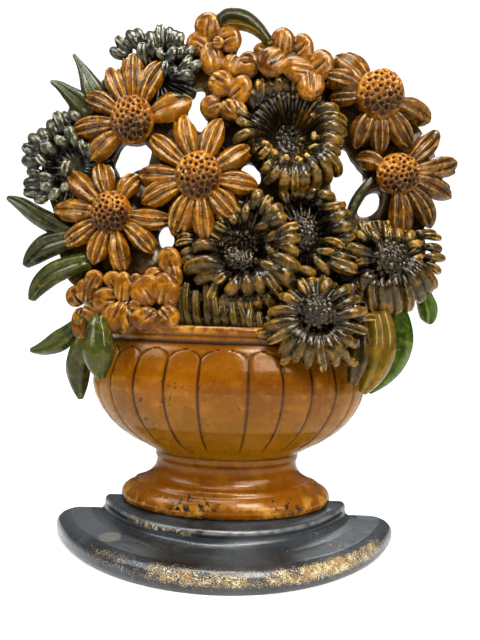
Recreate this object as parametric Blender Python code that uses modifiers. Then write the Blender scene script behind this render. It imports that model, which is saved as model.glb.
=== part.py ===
"""Door stop: a cast-iron flower urn on a half-moon plinth.

Three iron castings with flat backs stand in one plane: the plinth, the
hollow-backed half-round urn, and the pierced bouquet, which rests on the
urn's rim and reaches down behind it with a tongue. Two screws from below hold
the urn to the plinth, and two screws from behind hold the bouquet to the urn.

Metres, +Z up, X to the right, the front faces -Y. The backs lie in Y = 0, the
floor is Z = 0, and X = 0 is the urn's middle.
"""

import math

import bmesh
import bpy
from mathutils import Matrix, Vector

MM = 0.001
GAP = 0.3  # clearance between touching castings, mm

# Plinth, mm
PLINTH_HALF_WIDTH = 94.0
PLINTH_DEPTH = 70.0
PLINTH_TIP_RADIUS = 7.0
TIER_HALF_WIDTH = 68.5
TIER_DEPTH = 46.5
TIER_TIP_RADIUS = 2.5
PLINTH_HEIGHT = 19.0

# Urn, mm
RIM_HEIGHT = 118.0
BOWL_HALF_WIDTH = 77.6
WALL = 4.5
FOOT_FLOOR = 27.6  # top of the solid foot that takes the plinth's screws
FLUTES_FROM, FLUTES_TO = 50.0, 107.0
FLUTE_DEPTH = 0.9
CENTRE_FLUTE = 9.4  # half angle of the wide front flute, degrees
FLUTE_PITCH = 13.9  # degrees

# Screws, mm
PLINTH_SCREW_X, PLINTH_SCREW_Y = 34.0, -16.0
PLINTH_SCREW_RADIUS, PLINTH_SCREW_LENGTH = 2.5, 21.0
BOUQUET_SCREW_X, BOUQUET_SCREW_Z = 44.0, 100.0
BOUQUET_SCREW_RADIUS, BOUQUET_SCREW_LENGTH = 1.9, 12.5

# Bouquet, mm
PLATE_BACK, PLATE_FRONT = 0.0, 5.6
TONGUE_HALF_WIDTH = 55.0
TONGUE_BOTTOM = 90.0
TONGUE_BACK, TONGUE_FRONT = 3.0, 7.0
BOUQUET_GRAIN = 1.7  # smallest detail kept in the cast relief
BOUQUET_FACES = 6400


# ---------------------------------------------------------------- the scene
def clear_scene():
    for obj in list(bpy.data.objects):
        bpy.data.objects.remove(obj, do_unlink=True)


def new_collection(name, hidden=False):
    made = bpy.data.collections.new(name)
    bpy.context.scene.collection.children.link(made)
    made.hide_render = hidden
    return made


def new_material(name, colour, roughness, metallic):
    made = bpy.data.materials.new(name)
    made.use_nodes = True
    shader = made.node_tree.nodes["Principled BSDF"]
    shader.inputs["Base Color"].default_value = (*colour, 1.0)
    shader.inputs["Roughness"].default_value = roughness
    shader.inputs["Metallic"].default_value = metallic
    return made


def new_object(name, mesh, collection, material=None):
    obj = bpy.data.objects.new(name, mesh)
    collection.objects.link(obj)
    if material:
        mesh.materials.clear()
        mesh.materials.append(material)
    return obj


def mesh_from(bm, name, smooth=True):
    bmesh.ops.recalc_face_normals(bm, faces=bm.faces)
    mesh = bpy.data.meshes.new(name)
    bm.to_mesh(mesh)
    bm.free()
    if smooth:
        mesh.shade_smooth()
        mesh.set_sharp_from_angle(angle=math.radians(35))
    return mesh


def cutter_object(name, mesh, collection):
    obj = new_object(name, mesh, collection)
    obj.hide_render = True
    obj.display_type = "WIRE"
    return obj


def boolean(obj, other, operation, solver="MANIFOLD"):
    """The castings are dense closed meshes with flat backs, which EXACT leaves open; it suits the simple ones."""
    modifier = obj.modifiers.new(operation.lower() + "_" + other.name, "BOOLEAN")
    modifier.operation = operation
    modifier.object = other
    modifier.solver = solver
    return modifier


def evaluated_mesh(obj):
    graph = bpy.context.evaluated_depsgraph_get()
    return bpy.data.meshes.new_from_object(obj.evaluated_get(graph))


# ------------------------------------------------------------------ outlines
def half_moon(half_width, depth, tip, arc_steps=30, tip_steps=5):
    """A circle's segment standing on Y = 0, its two tips rounded, left to right."""
    tip_x = half_width - tip
    radius = (tip_x**2 + depth**2 - 2 * tip * depth) / (2 * (depth - 2 * tip))
    centre_y = radius - depth
    joint = math.atan2(-tip - centre_y, tip_x)
    right = []
    for i in range(arc_steps // 2 + 1):
        a = -math.pi / 2 + (joint + math.pi / 2) * i / (arc_steps // 2)
        right.append((radius * math.cos(a), centre_y + radius * math.sin(a)))
    for i in range(1, tip_steps + 1):
        a = joint + (math.pi / 2 - joint) * i / tip_steps
        right.append((tip_x + tip * math.cos(a), -tip + tip * math.sin(a)))
    left = [(-x, y) for x, y in reversed(right[1:])]
    return left + right


def half_ellipse(half_width, depth, steps, back=0.0, groove=None):
    """Half an ellipse in front of Y = 0, left to right, with an optional straight run back."""
    points = []
    for i in range(steps + 1):
        a = math.pi * i / steps
        k = 1.0
        if groove:
            k -= groove(math.degrees(a) - 90.0)
        points.append((-half_width * k * math.cos(a), -depth * k * math.sin(a)))
    if back:
        points = [(points[0][0], back)] + points + [(points[-1][0], back)]
    return points


def stacked(rings):
    """A closed solid through level outlines, each (z, points), lowest first."""
    bm = bmesh.new()
    rows = []
    for z, points in rings:
        rows.append([bm.verts.new((x * MM, y * MM, z * MM)) for x, y in points])
    count = len(rows[0])
    for low, high in zip(rows, rows[1:]):
        for i in range(count):
            j = (i + 1) % count
            bm.faces.new((low[i], low[j], high[j], high[i]))
    bm.faces.new(list(reversed(rows[0])))
    bm.faces.new(rows[-1])
    return bm


def add_cylinder(bm, radius, start, end, segments=20):
    """A closed cylinder from start to end, mm."""
    start, end = Vector(start), Vector(end)
    axis = end - start
    turn = axis.to_track_quat("Z", "Y").to_matrix().to_4x4()
    place = Matrix.Translation((start + end) / 2 * MM) @ turn
    bmesh.ops.create_cone(
        bm,
        cap_ends=True,
        segments=segments,
        radius1=radius * MM,
        radius2=radius * MM,
        depth=axis.length * MM,
        matrix=place,
    )


def add_box(bm, low, high):
    low, high = Vector(low), Vector(high)
    size = high - low
    place = Matrix.Translation((low + high) / 2 * MM) @ Matrix.Diagonal((*(size * MM), 1.0))
    bmesh.ops.create_cube(bm, size=1.0, matrix=place)


# -------------------------------------------------------------------- plinth
def make_plinth(parts, cutters, material):
    # (z, half width, depth, tip radius): bullnosed lower tier, cove, upper tier
    levels = [
        (0.0, 91.8, 68.2, 5.4),
        (0.9, 93.2, 69.3, 6.4),
        (2.8, 94.0, 70.0, 7.0),
        (6.2, 94.0, 70.0, 7.0),
        (8.4, 93.2, 69.2, 6.4),
        (10.2, 91.3, 67.5, 5.2),
        (11.2, 88.0, 64.6, 4.4),
        (11.0, 82.0, 59.6, 3.6),
        (10.8, 76.0, 54.2, 3.0),
        (11.4, 71.6, 49.8, 2.6),
        (12.8, 69.3, 47.2, 2.4),
        (15.0, 68.4, 46.2, 2.4),
        (16.4, TIER_HALF_WIDTH, TIER_DEPTH, TIER_TIP_RADIUS),
        (18.1, TIER_HALF_WIDTH - 0.1, TIER_DEPTH - 0.1, TIER_TIP_RADIUS),
        (PLINTH_HEIGHT, TIER_HALF_WIDTH - 1.2, TIER_DEPTH - 1.2, 1.6),
    ]
    bm = stacked([(z, half_moon(w, d, r)) for z, w, d, r in levels])
    plinth = new_object("plinth_base", mesh_from(bm, "plinth_base"), parts, material)
    bm = bmesh.new()
    for side in (-1, 1):
        x = side * PLINTH_SCREW_X
        add_cylinder(bm, 5.6, (x, PLINTH_SCREW_Y, -2), (x, PLINTH_SCREW_Y, 4.6), 24)
    heads = cutter_object("plinth_counterbores", mesh_from(bm, "plinth_counterbores", False), cutters)
    bm = bmesh.new()
    for side in (-1, 1):
        x = side * PLINTH_SCREW_X
        add_cylinder(bm, 2.9, (x, PLINTH_SCREW_Y, 2), (x, PLINTH_SCREW_Y, 25))
    holes = cutter_object("plinth_screw_holes", mesh_from(bm, "plinth_screw_holes", False), cutters)
    boolean(plinth, heads, "DIFFERENCE", "EXACT")
    boolean(plinth, holes, "DIFFERENCE", "EXACT")
    return plinth


# ----------------------------------------------------------------------- urn
# (z, half width, front depth): foot, cavetto, neck ring, bowl, frieze, rim
URN_PROFILE = [
    (PLINTH_HEIGHT + GAP, 58.2, 34.0),
    (20.4, 59.3, 34.9),
    (22.6, 59.6, 35.2),
    (24.8, 58.9, 34.6),
    (26.8, 57.2, 33.4),
    (28.4, 55.0, 32.0),
    (29.4, 52.6, 30.6),
    (30.6, 51.6, 30.2),
    (31.6, 49.8, 29.4),
    (32.6, 46.2, 27.6),
    (34.4, 43.2, 26.0),
    (37.0, 41.0, 24.9),
    (40.0, 40.0, 24.4),
    (42.6, 39.7, 24.3),
    (43.4, 40.5, 25.0),
    (45.4, 41.0, 25.4),
    (46.9, 40.3, 25.0),
    (47.8, 41.4, 25.6),
    (50.8, 47.2, 28.0),
    (54.8, 55.2, 31.4),
    (59.4, 62.2, 34.6),
    (64.6, 67.8, 37.4),
    (71.0, 72.6, 39.8),
    (77.6, 76.0, 41.4),
    (84.0, BOWL_HALF_WIDTH, 42.2),
    (90.0, 77.4, 42.0),
    (96.0, 75.6, 41.0),
    (101.5, 73.0, 39.6),
    (105.6, 70.6, 38.2),
    (107.2, 69.2, 37.4),
    (109.6, 68.4, 36.8),
    (110.8, 68.8, 37.2),
    (111.8, 69.8, 38.0),
    (112.8, 69.2, 37.4),
    (114.6, 70.2, 38.2),
    (116.6, 70.2, 38.2),
    (RIM_HEIGHT, 68.8, 37.0),
]
URN_HOLLOW = [
    (FOOT_FLOOR, 49.0, 26.5),
    (30.5, 45.4, 24.4),
    (33.0, 39.0, 21.2),
    (37.5, 35.8, 19.8),
    (48.6, 35.4, 20.4),
    (51.6, 38.6, 22.2),
    (55.2, 45.6, 24.6),
    (59.6, 53.2, 27.6),
    (64.8, 60.0, 30.6),
    (70.0, 64.8, 33.0),
    (77.0, 69.6, 35.4),
    (84.0, 72.4, 37.0),
    (90.0, 72.6, 37.2),
    (96.0, 70.8, 36.2),
    (102.0, 67.8, 34.4),
    (107.0, 65.0, 33.0),
    (RIM_HEIGHT + 12.0, 65.0, 33.0),
]


def flute_groove(z):
    """How deep a flute's edge is cut at an angle off the front, as a share of the radius."""
    fade = min(1.0, max(0.0, (z - FLUTES_FROM) / 8.0), max(0.0, (FLUTES_TO - z) / 2.0))

    def groove(angle):
        off = abs(angle)
        if off > 80:
            return 0.0
        nearest = round((off - CENTRE_FLUTE) / FLUTE_PITCH)
        edge = CENTRE_FLUTE + max(0, nearest) * FLUTE_PITCH
        return fade * FLUTE_DEPTH / 60.0 * max(0.0, 1.0 - abs(off - edge) / 3.4)

    return groove


def urn_envelope(gap, top):
    """The urn's outside grown by a gap and carried up, as a solid."""
    rings = []
    for z, w, d in URN_PROFILE:
        rings.append((z, half_ellipse(w + gap, d + gap, 36, back=12.0)))
    rings[0] = (10.0, rings[0][1])
    rings.append((top, half_ellipse(URN_PROFILE[-1][1] + gap, URN_PROFILE[-1][2] + gap, 36, back=12.0)))
    return stacked(rings)


def make_urn(parts, cutters, material):
    rings = [(z, half_ellipse(w, d, 44, groove=flute_groove(z))) for z, w, d in URN_PROFILE]
    urn = new_object("urn_body", mesh_from(stacked(rings), "urn_body"), parts, material)
    rings = [(z, half_ellipse(w, d, 24, back=12.0)) for z, w, d in URN_HOLLOW]
    hollow = cutter_object("urn_hollow", mesh_from(stacked(rings), "urn_hollow", False), cutters)
    # lugs inside the bowl that take the bouquet's screws: the hollow leaves them standing
    bm = bmesh.new()
    for side in (-1, 1):
        x = side * BOUQUET_SCREW_X
        add_cylinder(bm, 6.0, (x, -TONGUE_FRONT - GAP, BOUQUET_SCREW_Z), (x, -44.0, BOUQUET_SCREW_Z))
    lugs = cutter_object("urn_lugs", mesh_from(bm, "urn_lugs", False), cutters)
    boolean(hollow, lugs, "DIFFERENCE")
    boolean(urn, hollow, "DIFFERENCE")
    bm = bmesh.new()
    for side in (-1, 1):
        x = side * BOUQUET_SCREW_X
        add_cylinder(bm, BOUQUET_SCREW_RADIUS + GAP, (x, 0, BOUQUET_SCREW_Z), (x, -19.0, BOUQUET_SCREW_Z))
        x = side * PLINTH_SCREW_X
        add_cylinder(bm, PLINTH_SCREW_RADIUS + GAP, (x, PLINTH_SCREW_Y, 15), (x, PLINTH_SCREW_Y, 25.6))
    holes = cutter_object("urn_screw_holes", mesh_from(bm, "urn_screw_holes", False), cutters)
    boolean(urn, holes, "DIFFERENCE")
    return urn


# ------------------------------------------------------------------- bouquet
# Every place below is (x, z, depth): depth is how far in front of the back it lies.
PLATE = [
    (-79, 119), (-82, 134), (-88, 150), (-94, 162), (-100, 176), (-101, 192), (-104, 206),
    (-98, 222), (-88, 238), (-80, 252), (-66, 263), (-50, 270), (-30, 272), (-18, 281),
    (-4, 284), (12, 279), (30, 272), (47, 265), (62, 262), (80, 262), (96, 252), (105, 238),
    (107, 222), (113, 208), (111, 192), (104, 176), (102, 160), (104, 145), (98, 130), (84, 119),
]
PIERCINGS = [
    [(-64, 221), (-53, 223), (-46, 218), (-49, 209), (-65, 201), (-69, 208)],
    [(-23, 253), (-18, 252), (-16, 237), (-20, 230), (-27, 237), (-26, 248)],
    [(-42, 174), (-38, 176), (-34, 169), (-36, 163), (-42, 165)],
    [(1, 281), (8, 283), (15, 279), (13, 273), (6, 272)],
    [(4, 210), (9, 212), (14, 207), (14, 200), (6, 203)],
    [(62, 222), (66, 214), (73, 206), (72, 199), (65, 188), (61, 187), (55, 197), (54, 205), (58, 211)],
    [(74, 194), (81, 196), (82, 189), (78, 183), (70, 182)],
]
# centre (x, z), depth at the dome's foot, dome radius, petal reach, petal directions in degrees
DAISIES = [
    ((-55.5, 226.4), 14.0, 11.1, 33.0, (25, 66, 92, 117, 153, 189, 220)),
    ((-18.5, 195.0), 22.0, 11.4, 32.0, (35, 73, 105, 141, 178, 204, 247, 276, 315, 355)),
    ((-64.8, 176.7), 15.0, 10.6, 30.5, (59, 107, 139, 178, 213, 250, 282, 317, 356)),
    ((77.0, 245.1), 13.0, 11.6, 31.0, (136, 162, 245, 272, 305, 339)),
    ((88.1, 203.4), 12.0, 10.7, 33.0, (15, 48, 276, 306, 340)),
]
# centre (x, z), depth of the eye, rim reach, rim depth, petals, eye radius
ZINNIAS = [
    ((-46.5, 256.0), 8.0, 23.5, 11.0, 17, 8.0),
    ((-90.5, 204.4), 8.0, 24.0, 11.0, 17, 8.0),
    ((28.0, 221.0), 12.0, 31.0, 24.0, 20, 10.0),
    ((5.0, 156.5), 22.0, 31.0, 30.0, 22, 13.0),
    ((41.0, 165.0), 24.0, 22.0, 28.0, 15, 9.0),
    ((82.5, 153.5), 24.0, 28.0, 20.0, 20, 10.0),
    ((44.0, 124.5), 38.0, 27.0, 37.0, 18, 9.5),
]
# small rounded petals and buds: (x, z), depth, radius
BLOSSOM_PETALS = [
    ((-17.5, 281.0), 12.0, 7.0), ((-5.0, 275.0), 14.0, 7.0), ((-21.0, 273.0), 12.0, 6.5),
    ((-13.0, 263.0), 14.0, 7.5), ((-7.5, 250.0), 16.0, 6.0), ((3.0, 246.5), 18.0, 6.0),
    ((-10.0, 238.0), 16.0, 5.5), ((-1.0, 235.5), 17.0, 6.0), ((2.0, 262.0), 15.0, 6.5),
    ((11.0, 266.0), 16.0, 6.5), ((21.0, 277.0), 12.0, 7.5), ((34.5, 274.0), 12.0, 6.5),
    ((46.0, 264.0), 12.0, 7.0), ((17.0, 261.0), 18.0, 7.5), ((31.0, 258.5), 19.0, 8.0),
    ((39.0, 249.0), 20.0, 7.5), ((-32.8, 152.2), 22.0, 7.0), ((-55.0, 138.0), 25.0, 6.0),
    ((-64.0, 131.5), 23.0, 6.5), ((-72.5, 126.0), 20.0, 6.5), ((-57.0, 119.5), 30.0, 6.5),
    ((-45.0, 134.0), 27.0, 6.0), ((-34.5, 134.0), 28.0, 6.5), ((-31.5, 123.5), 30.0, 6.5),
    ((-46.0, 121.5), 32.0, 7.0), ((-81.0, 134.0), 14.0, 5.5), ((-79.5, 121.0), 14.0, 6.5),
    ((-72.0, 138.0), 18.0, 6.5),
]
# leaves and stems: base, tip, each (x, z, depth), width, thickness
LEAVES = [
    ((-92.0, 171.0, 7.0), (-127.5, 185.0, 5.0), 13.0, 5.0),
    ((-80.0, 166.0, 8.0), (-117.0, 150.5, 6.0), 15.0, 6.0),
    ((-78.0, 149.0, 9.0), (-112.0, 131.0, 7.0), 14.0, 6.0),
    ((-78.0, 244.0, 7.0), (-92.7, 267.5, 5.0), 11.0, 5.0),
    ((-84.0, 233.0, 7.0), (-105.0, 251.5, 5.0), 12.0, 5.0),
    ((-80.0, 118.0, 12.0), (-110.6, 101.5, 8.0), 14.0, 6.0),
    ((-76.0, 112.0, 12.0), (-83.1, 75.5, 8.0), 15.0, 6.0),
    ((-67.0, 122.0, 22.0), (-70.6, 88.0, 20.0), 16.0, 6.0),
    ((104.0, 140.0, 10.0), (109.5, 123.5, 9.0), 9.0, 7.0),
    ((62.0, 124.0, 24.0), (63.0, 86.0, 30.0), 13.0, 6.0),
    ((82.0, 130.0, 14.0), (86.0, 90.0, 10.0), 24.0, 8.0),
    ((-12.0, 287.0, 10.0), (11.0, 290.0, 9.0), 8.0, 7.0),
    ((4.0, 291.5, 9.0), (20.0, 276.0, 9.0), 8.0, 7.0),
    ((58.0, 178.0, 9.0), (80.0, 206.0, 9.0), 7.0, 7.0),
]


def world(x, z, depth):
    return Vector((x, -depth, z)) * MM


def add_blob(bm, start, end, width, thickness, segments=10, rings=8, blunt=0.62):
    """A blunt-ended ellipsoid laid from start to end, its width across and its thickness towards the front."""
    along = end - start
    front = Vector((0.0, -1.0, 0.0))
    across = along.cross(front).normalized()
    out = across.cross(along).normalized()
    turn = Matrix((across, out, along.normalized())).transposed().to_4x4()
    size = Matrix.Diagonal((width * MM / 2, thickness * MM / 2, along.length / 2, 1.0))
    place = Matrix.Translation((start + end) / 2) @ turn @ size
    made = bmesh.ops.create_uvsphere(bm, u_segments=segments, v_segments=rings, radius=1.0)
    for v in made["verts"]:
        ring = math.hypot(v.co.x, v.co.y)
        if ring > 1e-6:
            full = ring**blunt
            v.co.x, v.co.y = v.co.x / ring * full, v.co.y / ring * full
        v.co = place @ v.co


def add_dome(bm, x, z, depth, radius, height):
    place = Matrix.Translation(world(x, z, depth)) @ Matrix.Diagonal(
        (radius * MM, height * MM, radius * MM, 1.0)
    )
    bmesh.ops.create_uvsphere(bm, u_segments=16, v_segments=10, radius=1.0, matrix=place)


def outline_plate():
    """The web behind the flowers: a flat outline with its piercings, as a filled curve."""
    curve = bpy.data.curves.new("bouquet_plate", "CURVE")
    curve.dimensions = "2D"
    curve.fill_mode = "BOTH"
    curve.extrude = (PLATE_FRONT - PLATE_BACK - 0.6) / 2 * MM
    for outline in [PLATE] + PIERCINGS:
        spline = curve.splines.new("POLY")
        spline.points.add(len(outline) - 1)
        for point, (x, z) in zip(spline.points, outline):
            point.co = (x * MM, z * MM, 0.0, 1.0)
        spline.use_cyclic_u = True
    obj = bpy.data.objects.new("bouquet_plate", curve)
    obj.matrix_world = Matrix.Translation((0, -(PLATE_FRONT + PLATE_BACK) / 2 * MM, 0)) @ Matrix.Rotation(
        math.pi / 2, 4, "X"
    )
    bpy.context.scene.collection.objects.link(obj)
    bpy.context.view_layer.update()
    mesh = evaluated_mesh(obj)
    mesh.transform(obj.matrix_world)
    bpy.data.objects.remove(obj)
    return mesh


def relief():
    """Every flower, leaf and stem as overlapping closed shapes."""
    bm = bmesh.new()
    bm.from_mesh(outline_plate())
    bmesh.ops.remove_doubles(bm, verts=bm.verts, dist=1e-6)
    for (x, z), depth, dome, reach, directions in DAISIES:
        add_dome(bm, x, z, depth, dome, 10.0)
        add_dome(bm, x, z, depth / 2, dome, depth / 2)
        for degrees in directions:
            a = math.radians(degrees)
            start = world(x + 0.2 * reach * math.cos(a), z + 0.2 * reach * math.sin(a), depth - 1.0)
            end = world(x + reach * math.cos(a), z + reach * math.sin(a), depth - 4.0)
            add_blob(bm, start, end, 9.6, 7.0)
            root = world(x + 0.78 * reach * math.cos(a), z + 0.78 * reach * math.sin(a), 4.0)
            hub = world(x, z, depth / 2)
            add_blob(bm, hub, root, 9.0, depth * 0.7)
    for (x, z), depth, reach, rim_depth, petals, eye in ZINNIAS:
        add_dome(bm, x, z, depth - 1.0, eye, 7.0)
        add_dome(bm, x, z, depth / 2, reach * 0.6, depth * 0.5)
        for i in range(petals):
            a = 2 * math.pi * (i + 0.5) / petals
            start = world(x + 0.28 * reach * math.cos(a), z + 0.28 * reach * math.sin(a), depth - 3.0)
            end = world(x + reach * math.cos(a), z + reach * math.sin(a), rim_depth - 2.0)
            add_blob(bm, start, end, 2 * math.pi * reach / petals * 0.7, 7.0, 8, 8)
            low = world(x + 0.8 * reach * math.cos(a), z + 0.8 * reach * math.sin(a), rim_depth / 2)
            add_blob(bm, world(x, z, depth / 2), low, 8.0, rim_depth * 0.7, 8, 8)
    for (x, z), depth, radius in BLOSSOM_PETALS:
        add_dome(bm, x, z, depth, radius, 5.0)
        add_dome(bm, x, z, depth / 2, radius * 0.8, depth / 2)
    for base, tip, width, thickness in LEAVES:
        add_blob(bm, world(*base), world(*tip), width, thickness, 12, 8)
    # bed of stems that rests on the rim
    bed = stacked(
        [
            (RIM_HEIGHT - 4.0, half_ellipse(66.0, 33.0, 24)),
            (RIM_HEIGHT + 6.0, half_ellipse(66.0, 32.0, 24)),
            (RIM_HEIGHT + 14.0, half_ellipse(60.0, 22.0, 24)),
        ]
    )
    mesh = bpy.data.meshes.new("bed")
    bed.to_mesh(mesh)
    bed.free()
    bm.from_mesh(mesh)
    return bm


def largest_shell(mesh):
    """Leaves only the outermost surface, so that no pocket stays closed inside."""
    bm = bmesh.new()
    bm.from_mesh(mesh)
    bm.verts.ensure_lookup_table()
    seen = [False] * len(bm.verts)
    shells = []
    for start in bm.verts:
        if seen[start.index]:
            continue
        seen[start.index] = True
        stack, shell = [start], []
        while stack:
            v = stack.pop()
            shell.append(v)
            for edge in v.link_edges:
                other = edge.other_vert(v)
                if not seen[other.index]:
                    seen[other.index] = True
                    stack.append(other)
        shells.append(shell)
    shells.sort(key=len)
    for shell in shells[:-1]:
        bmesh.ops.delete(bm, geom=shell, context="VERTS")
    bm.to_mesh(mesh)
    bm.free()


def make_bouquet(parts, cutters, material):
    bm = relief()
    rough = bpy.data.meshes.new("bouquet_rough")
    bm.to_mesh(rough)
    bm.free()
    obj = new_object("bouquet_rough", rough, cutters)
    obj.hide_render = True
    fuse = obj.modifiers.new("fuse", "REMESH")
    fuse.mode = "VOXEL"
    fuse.voxel_size = BOUQUET_GRAIN * MM
    soften = obj.modifiers.new("soften", "SMOOTH")
    soften.factor = 0.5
    soften.iterations = 2
    bpy.context.view_layer.update()
    fused = evaluated_mesh(obj)
    largest_shell(fused)
    obj.modifiers.clear()
    obj.data = fused
    # the flat back, and cored hollows behind the deep flowers
    bm = bmesh.new()
    add_box(bm, (-150, 0, 60), (150, 20, 310))
    back = cutter_object("bouquet_back_plane", mesh_from(bm, "bouquet_back_plane", False), cutters)
    boolean(obj, back, "DIFFERENCE")
    bm = bmesh.new()
    for (x, z), depth, *_ in DAISIES + ZINNIAS[2:6]:
        place = Matrix.Translation(world(x, z, 0.0)) @ Matrix.Diagonal(
            (13.5 * MM, (depth - 3.5) * MM, 13.5 * MM, 1.0)
        )
        bmesh.ops.create_uvsphere(bm, u_segments=16, v_segments=10, radius=1.0, matrix=place)
    cores = cutter_object("bouquet_cores", mesh_from(bm, "bouquet_cores", False), cutters)
    boolean(obj, cores, "DIFFERENCE")
    even = obj.modifiers.new("even", "REMESH")
    even.mode = "VOXEL"
    even.voxel_size = BOUQUET_GRAIN * MM
    bpy.context.view_layer.update()
    fused = evaluated_mesh(obj)
    largest_shell(fused)
    obj.modifiers.clear()
    obj.data = fused
    thin = obj.modifiers.new("thin", "DECIMATE")
    fused.calc_loop_triangles()
    thin.ratio = BOUQUET_FACES / len(fused.loop_triangles)
    bpy.context.view_layer.update()
    final = evaluated_mesh(obj)
    bpy.data.objects.remove(obj)
    final.name = "bouquet"
    final.shade_smooth()
    bouquet = new_object("bouquet", final, parts, material)

    # room for the urn
    envelope = cutter_object(
        "urn_room", mesh_from(urn_envelope(GAP + 0.1, RIM_HEIGHT + GAP), "urn_room", False), cutters
    )
    boolean(bouquet, envelope, "DIFFERENCE")
    # the tongue that reaches down behind the rim
    bm = bmesh.new()
    add_box(
        bm,
        (-TONGUE_HALF_WIDTH, -TONGUE_FRONT, TONGUE_BOTTOM),
        (TONGUE_HALF_WIDTH, -TONGUE_BACK, RIM_HEIGHT + 8.0),
    )
    tongue = cutter_object("bouquet_tongue", mesh_from(bm, "bouquet_tongue", False), cutters)
    boolean(bouquet, tongue, "UNION")
    bm = bmesh.new()
    for side in (-1, 1):
        x = side * BOUQUET_SCREW_X
        add_cylinder(bm, BOUQUET_SCREW_RADIUS + 0.4, (x, 5, BOUQUET_SCREW_Z), (x, -12, BOUQUET_SCREW_Z))
    holes = cutter_object("bouquet_screw_holes", mesh_from(bm, "bouquet_screw_holes", False), cutters)
    boolean(bouquet, holes, "DIFFERENCE")
    return bouquet


# -------------------------------------------------------------------- screws
def screw_mesh(name, head_radius, head_height, radius, length):
    """A slotted cheese-head screw: the head's underside at z = 0, the shank upwards."""
    profile = [
        (0.0, length),
        (radius - 0.5, length),
        (radius, length - 0.8),
        (radius, 0.0),
        (head_radius, 0.0),
        (head_radius, -head_height + 0.5),
        (head_radius - 0.5, -head_height),
        (0.0, -head_height),
    ]
    mesh = bpy.data.meshes.new(name)
    mesh.from_pydata([(x * MM, 0, z * MM) for x, z in profile], [(i, i + 1) for i in range(len(profile) - 1)], [])
    obj = bpy.data.objects.new(name, mesh)
    bpy.context.scene.collection.objects.link(obj)
    spin = obj.modifiers.new("spin", "SCREW")
    spin.steps = spin.render_steps = 16
    spin.use_merge_vertices = True
    spin.merge_threshold = 0.00001
    bm = bmesh.new()
    add_box(bm, (-head_radius - 1, -0.6, -head_height - 1), (head_radius + 1, 0.6, -head_height + 1.1))
    slot = bpy.data.objects.new("slot", mesh_from(bm, "slot", False))
    bpy.context.scene.collection.objects.link(slot)
    boolean(obj, slot, "DIFFERENCE", "EXACT")
    bpy.context.view_layer.update()
    made = evaluated_mesh(obj)
    bpy.data.objects.remove(obj)
    bpy.data.objects.remove(slot)
    made.shade_smooth()
    made.set_sharp_from_angle(angle=math.radians(35))
    return made


def make_screws(parts, material):
    below = screw_mesh("plinth_screw", 4.9, 3.0, PLINTH_SCREW_RADIUS, PLINTH_SCREW_LENGTH - 0.7)
    behind = screw_mesh("bouquet_screw", 3.9, 2.2, BOUQUET_SCREW_RADIUS, BOUQUET_SCREW_LENGTH)
    for side, word in ((-1, "left"), (1, "right")):
        obj = new_object("plinth_screw_" + word, below, parts, material)
        obj.location = Vector((side * PLINTH_SCREW_X, PLINTH_SCREW_Y, 4.6 - GAP)) * MM
        obj.rotation_euler = (0, 0, math.radians(25 * side))
        obj = new_object("bouquet_screw_" + word, behind, parts, material)
        obj.location = Vector((side * BOUQUET_SCREW_X, -TONGUE_BACK + GAP, BOUQUET_SCREW_Z)) * MM
        obj.rotation_euler = (math.pi / 2, math.radians(40 * side), 0)


def main():
    clear_scene()
    parts = new_collection("door_stop")
    cutters = new_collection("cutters", hidden=True)
    black = new_material("black_paint", (0.012, 0.012, 0.012), 0.35, 0.0)
    orange = new_material("orange_paint", (0.55, 0.20, 0.01), 0.3, 0.0)
    olive = new_material("bouquet_paint", (0.10, 0.075, 0.02), 0.35, 0.0)
    steel = new_material("screw_steel", (0.12, 0.11, 0.10), 0.45, 1.0)
    make_plinth(parts, cutters, black)
    make_urn(parts, cutters, orange)
    make_bouquet(parts, cutters, olive)
    make_screws(parts, steel)


main()
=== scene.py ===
"""Door stop: the looks of a cast-iron flower urn on a half-moon plinth.

Three painted iron castings. The plinth and the urn are lofted again with every
roll, flute and cove; the bouquet is modelled flower by flower, each petal swept
along its own curve, and each flower is then fused as a casting would be.

Shapes are written in millimetres: x to the right, z up, and depth in front of the
flat back. Objects are in metres, in the frame's own axes, the front facing -Y.
"""

import math

import bpy
import numpy as np
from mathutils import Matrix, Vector


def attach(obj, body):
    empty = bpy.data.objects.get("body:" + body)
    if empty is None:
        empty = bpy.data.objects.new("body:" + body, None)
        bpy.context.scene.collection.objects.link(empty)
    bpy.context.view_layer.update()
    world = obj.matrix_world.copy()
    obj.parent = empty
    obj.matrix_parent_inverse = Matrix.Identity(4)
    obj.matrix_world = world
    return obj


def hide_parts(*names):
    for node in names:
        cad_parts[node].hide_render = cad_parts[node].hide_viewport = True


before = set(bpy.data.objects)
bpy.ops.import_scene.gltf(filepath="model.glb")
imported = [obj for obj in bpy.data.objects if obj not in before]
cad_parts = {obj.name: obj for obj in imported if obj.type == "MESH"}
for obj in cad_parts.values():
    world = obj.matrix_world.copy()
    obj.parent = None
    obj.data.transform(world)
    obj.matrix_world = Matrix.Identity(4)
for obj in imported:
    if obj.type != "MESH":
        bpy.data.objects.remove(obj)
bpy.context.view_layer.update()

MM = 0.001
FRONT = np.array((0.0, -1.0, 0.0))
RNG = np.random.default_rng(7)


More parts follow.
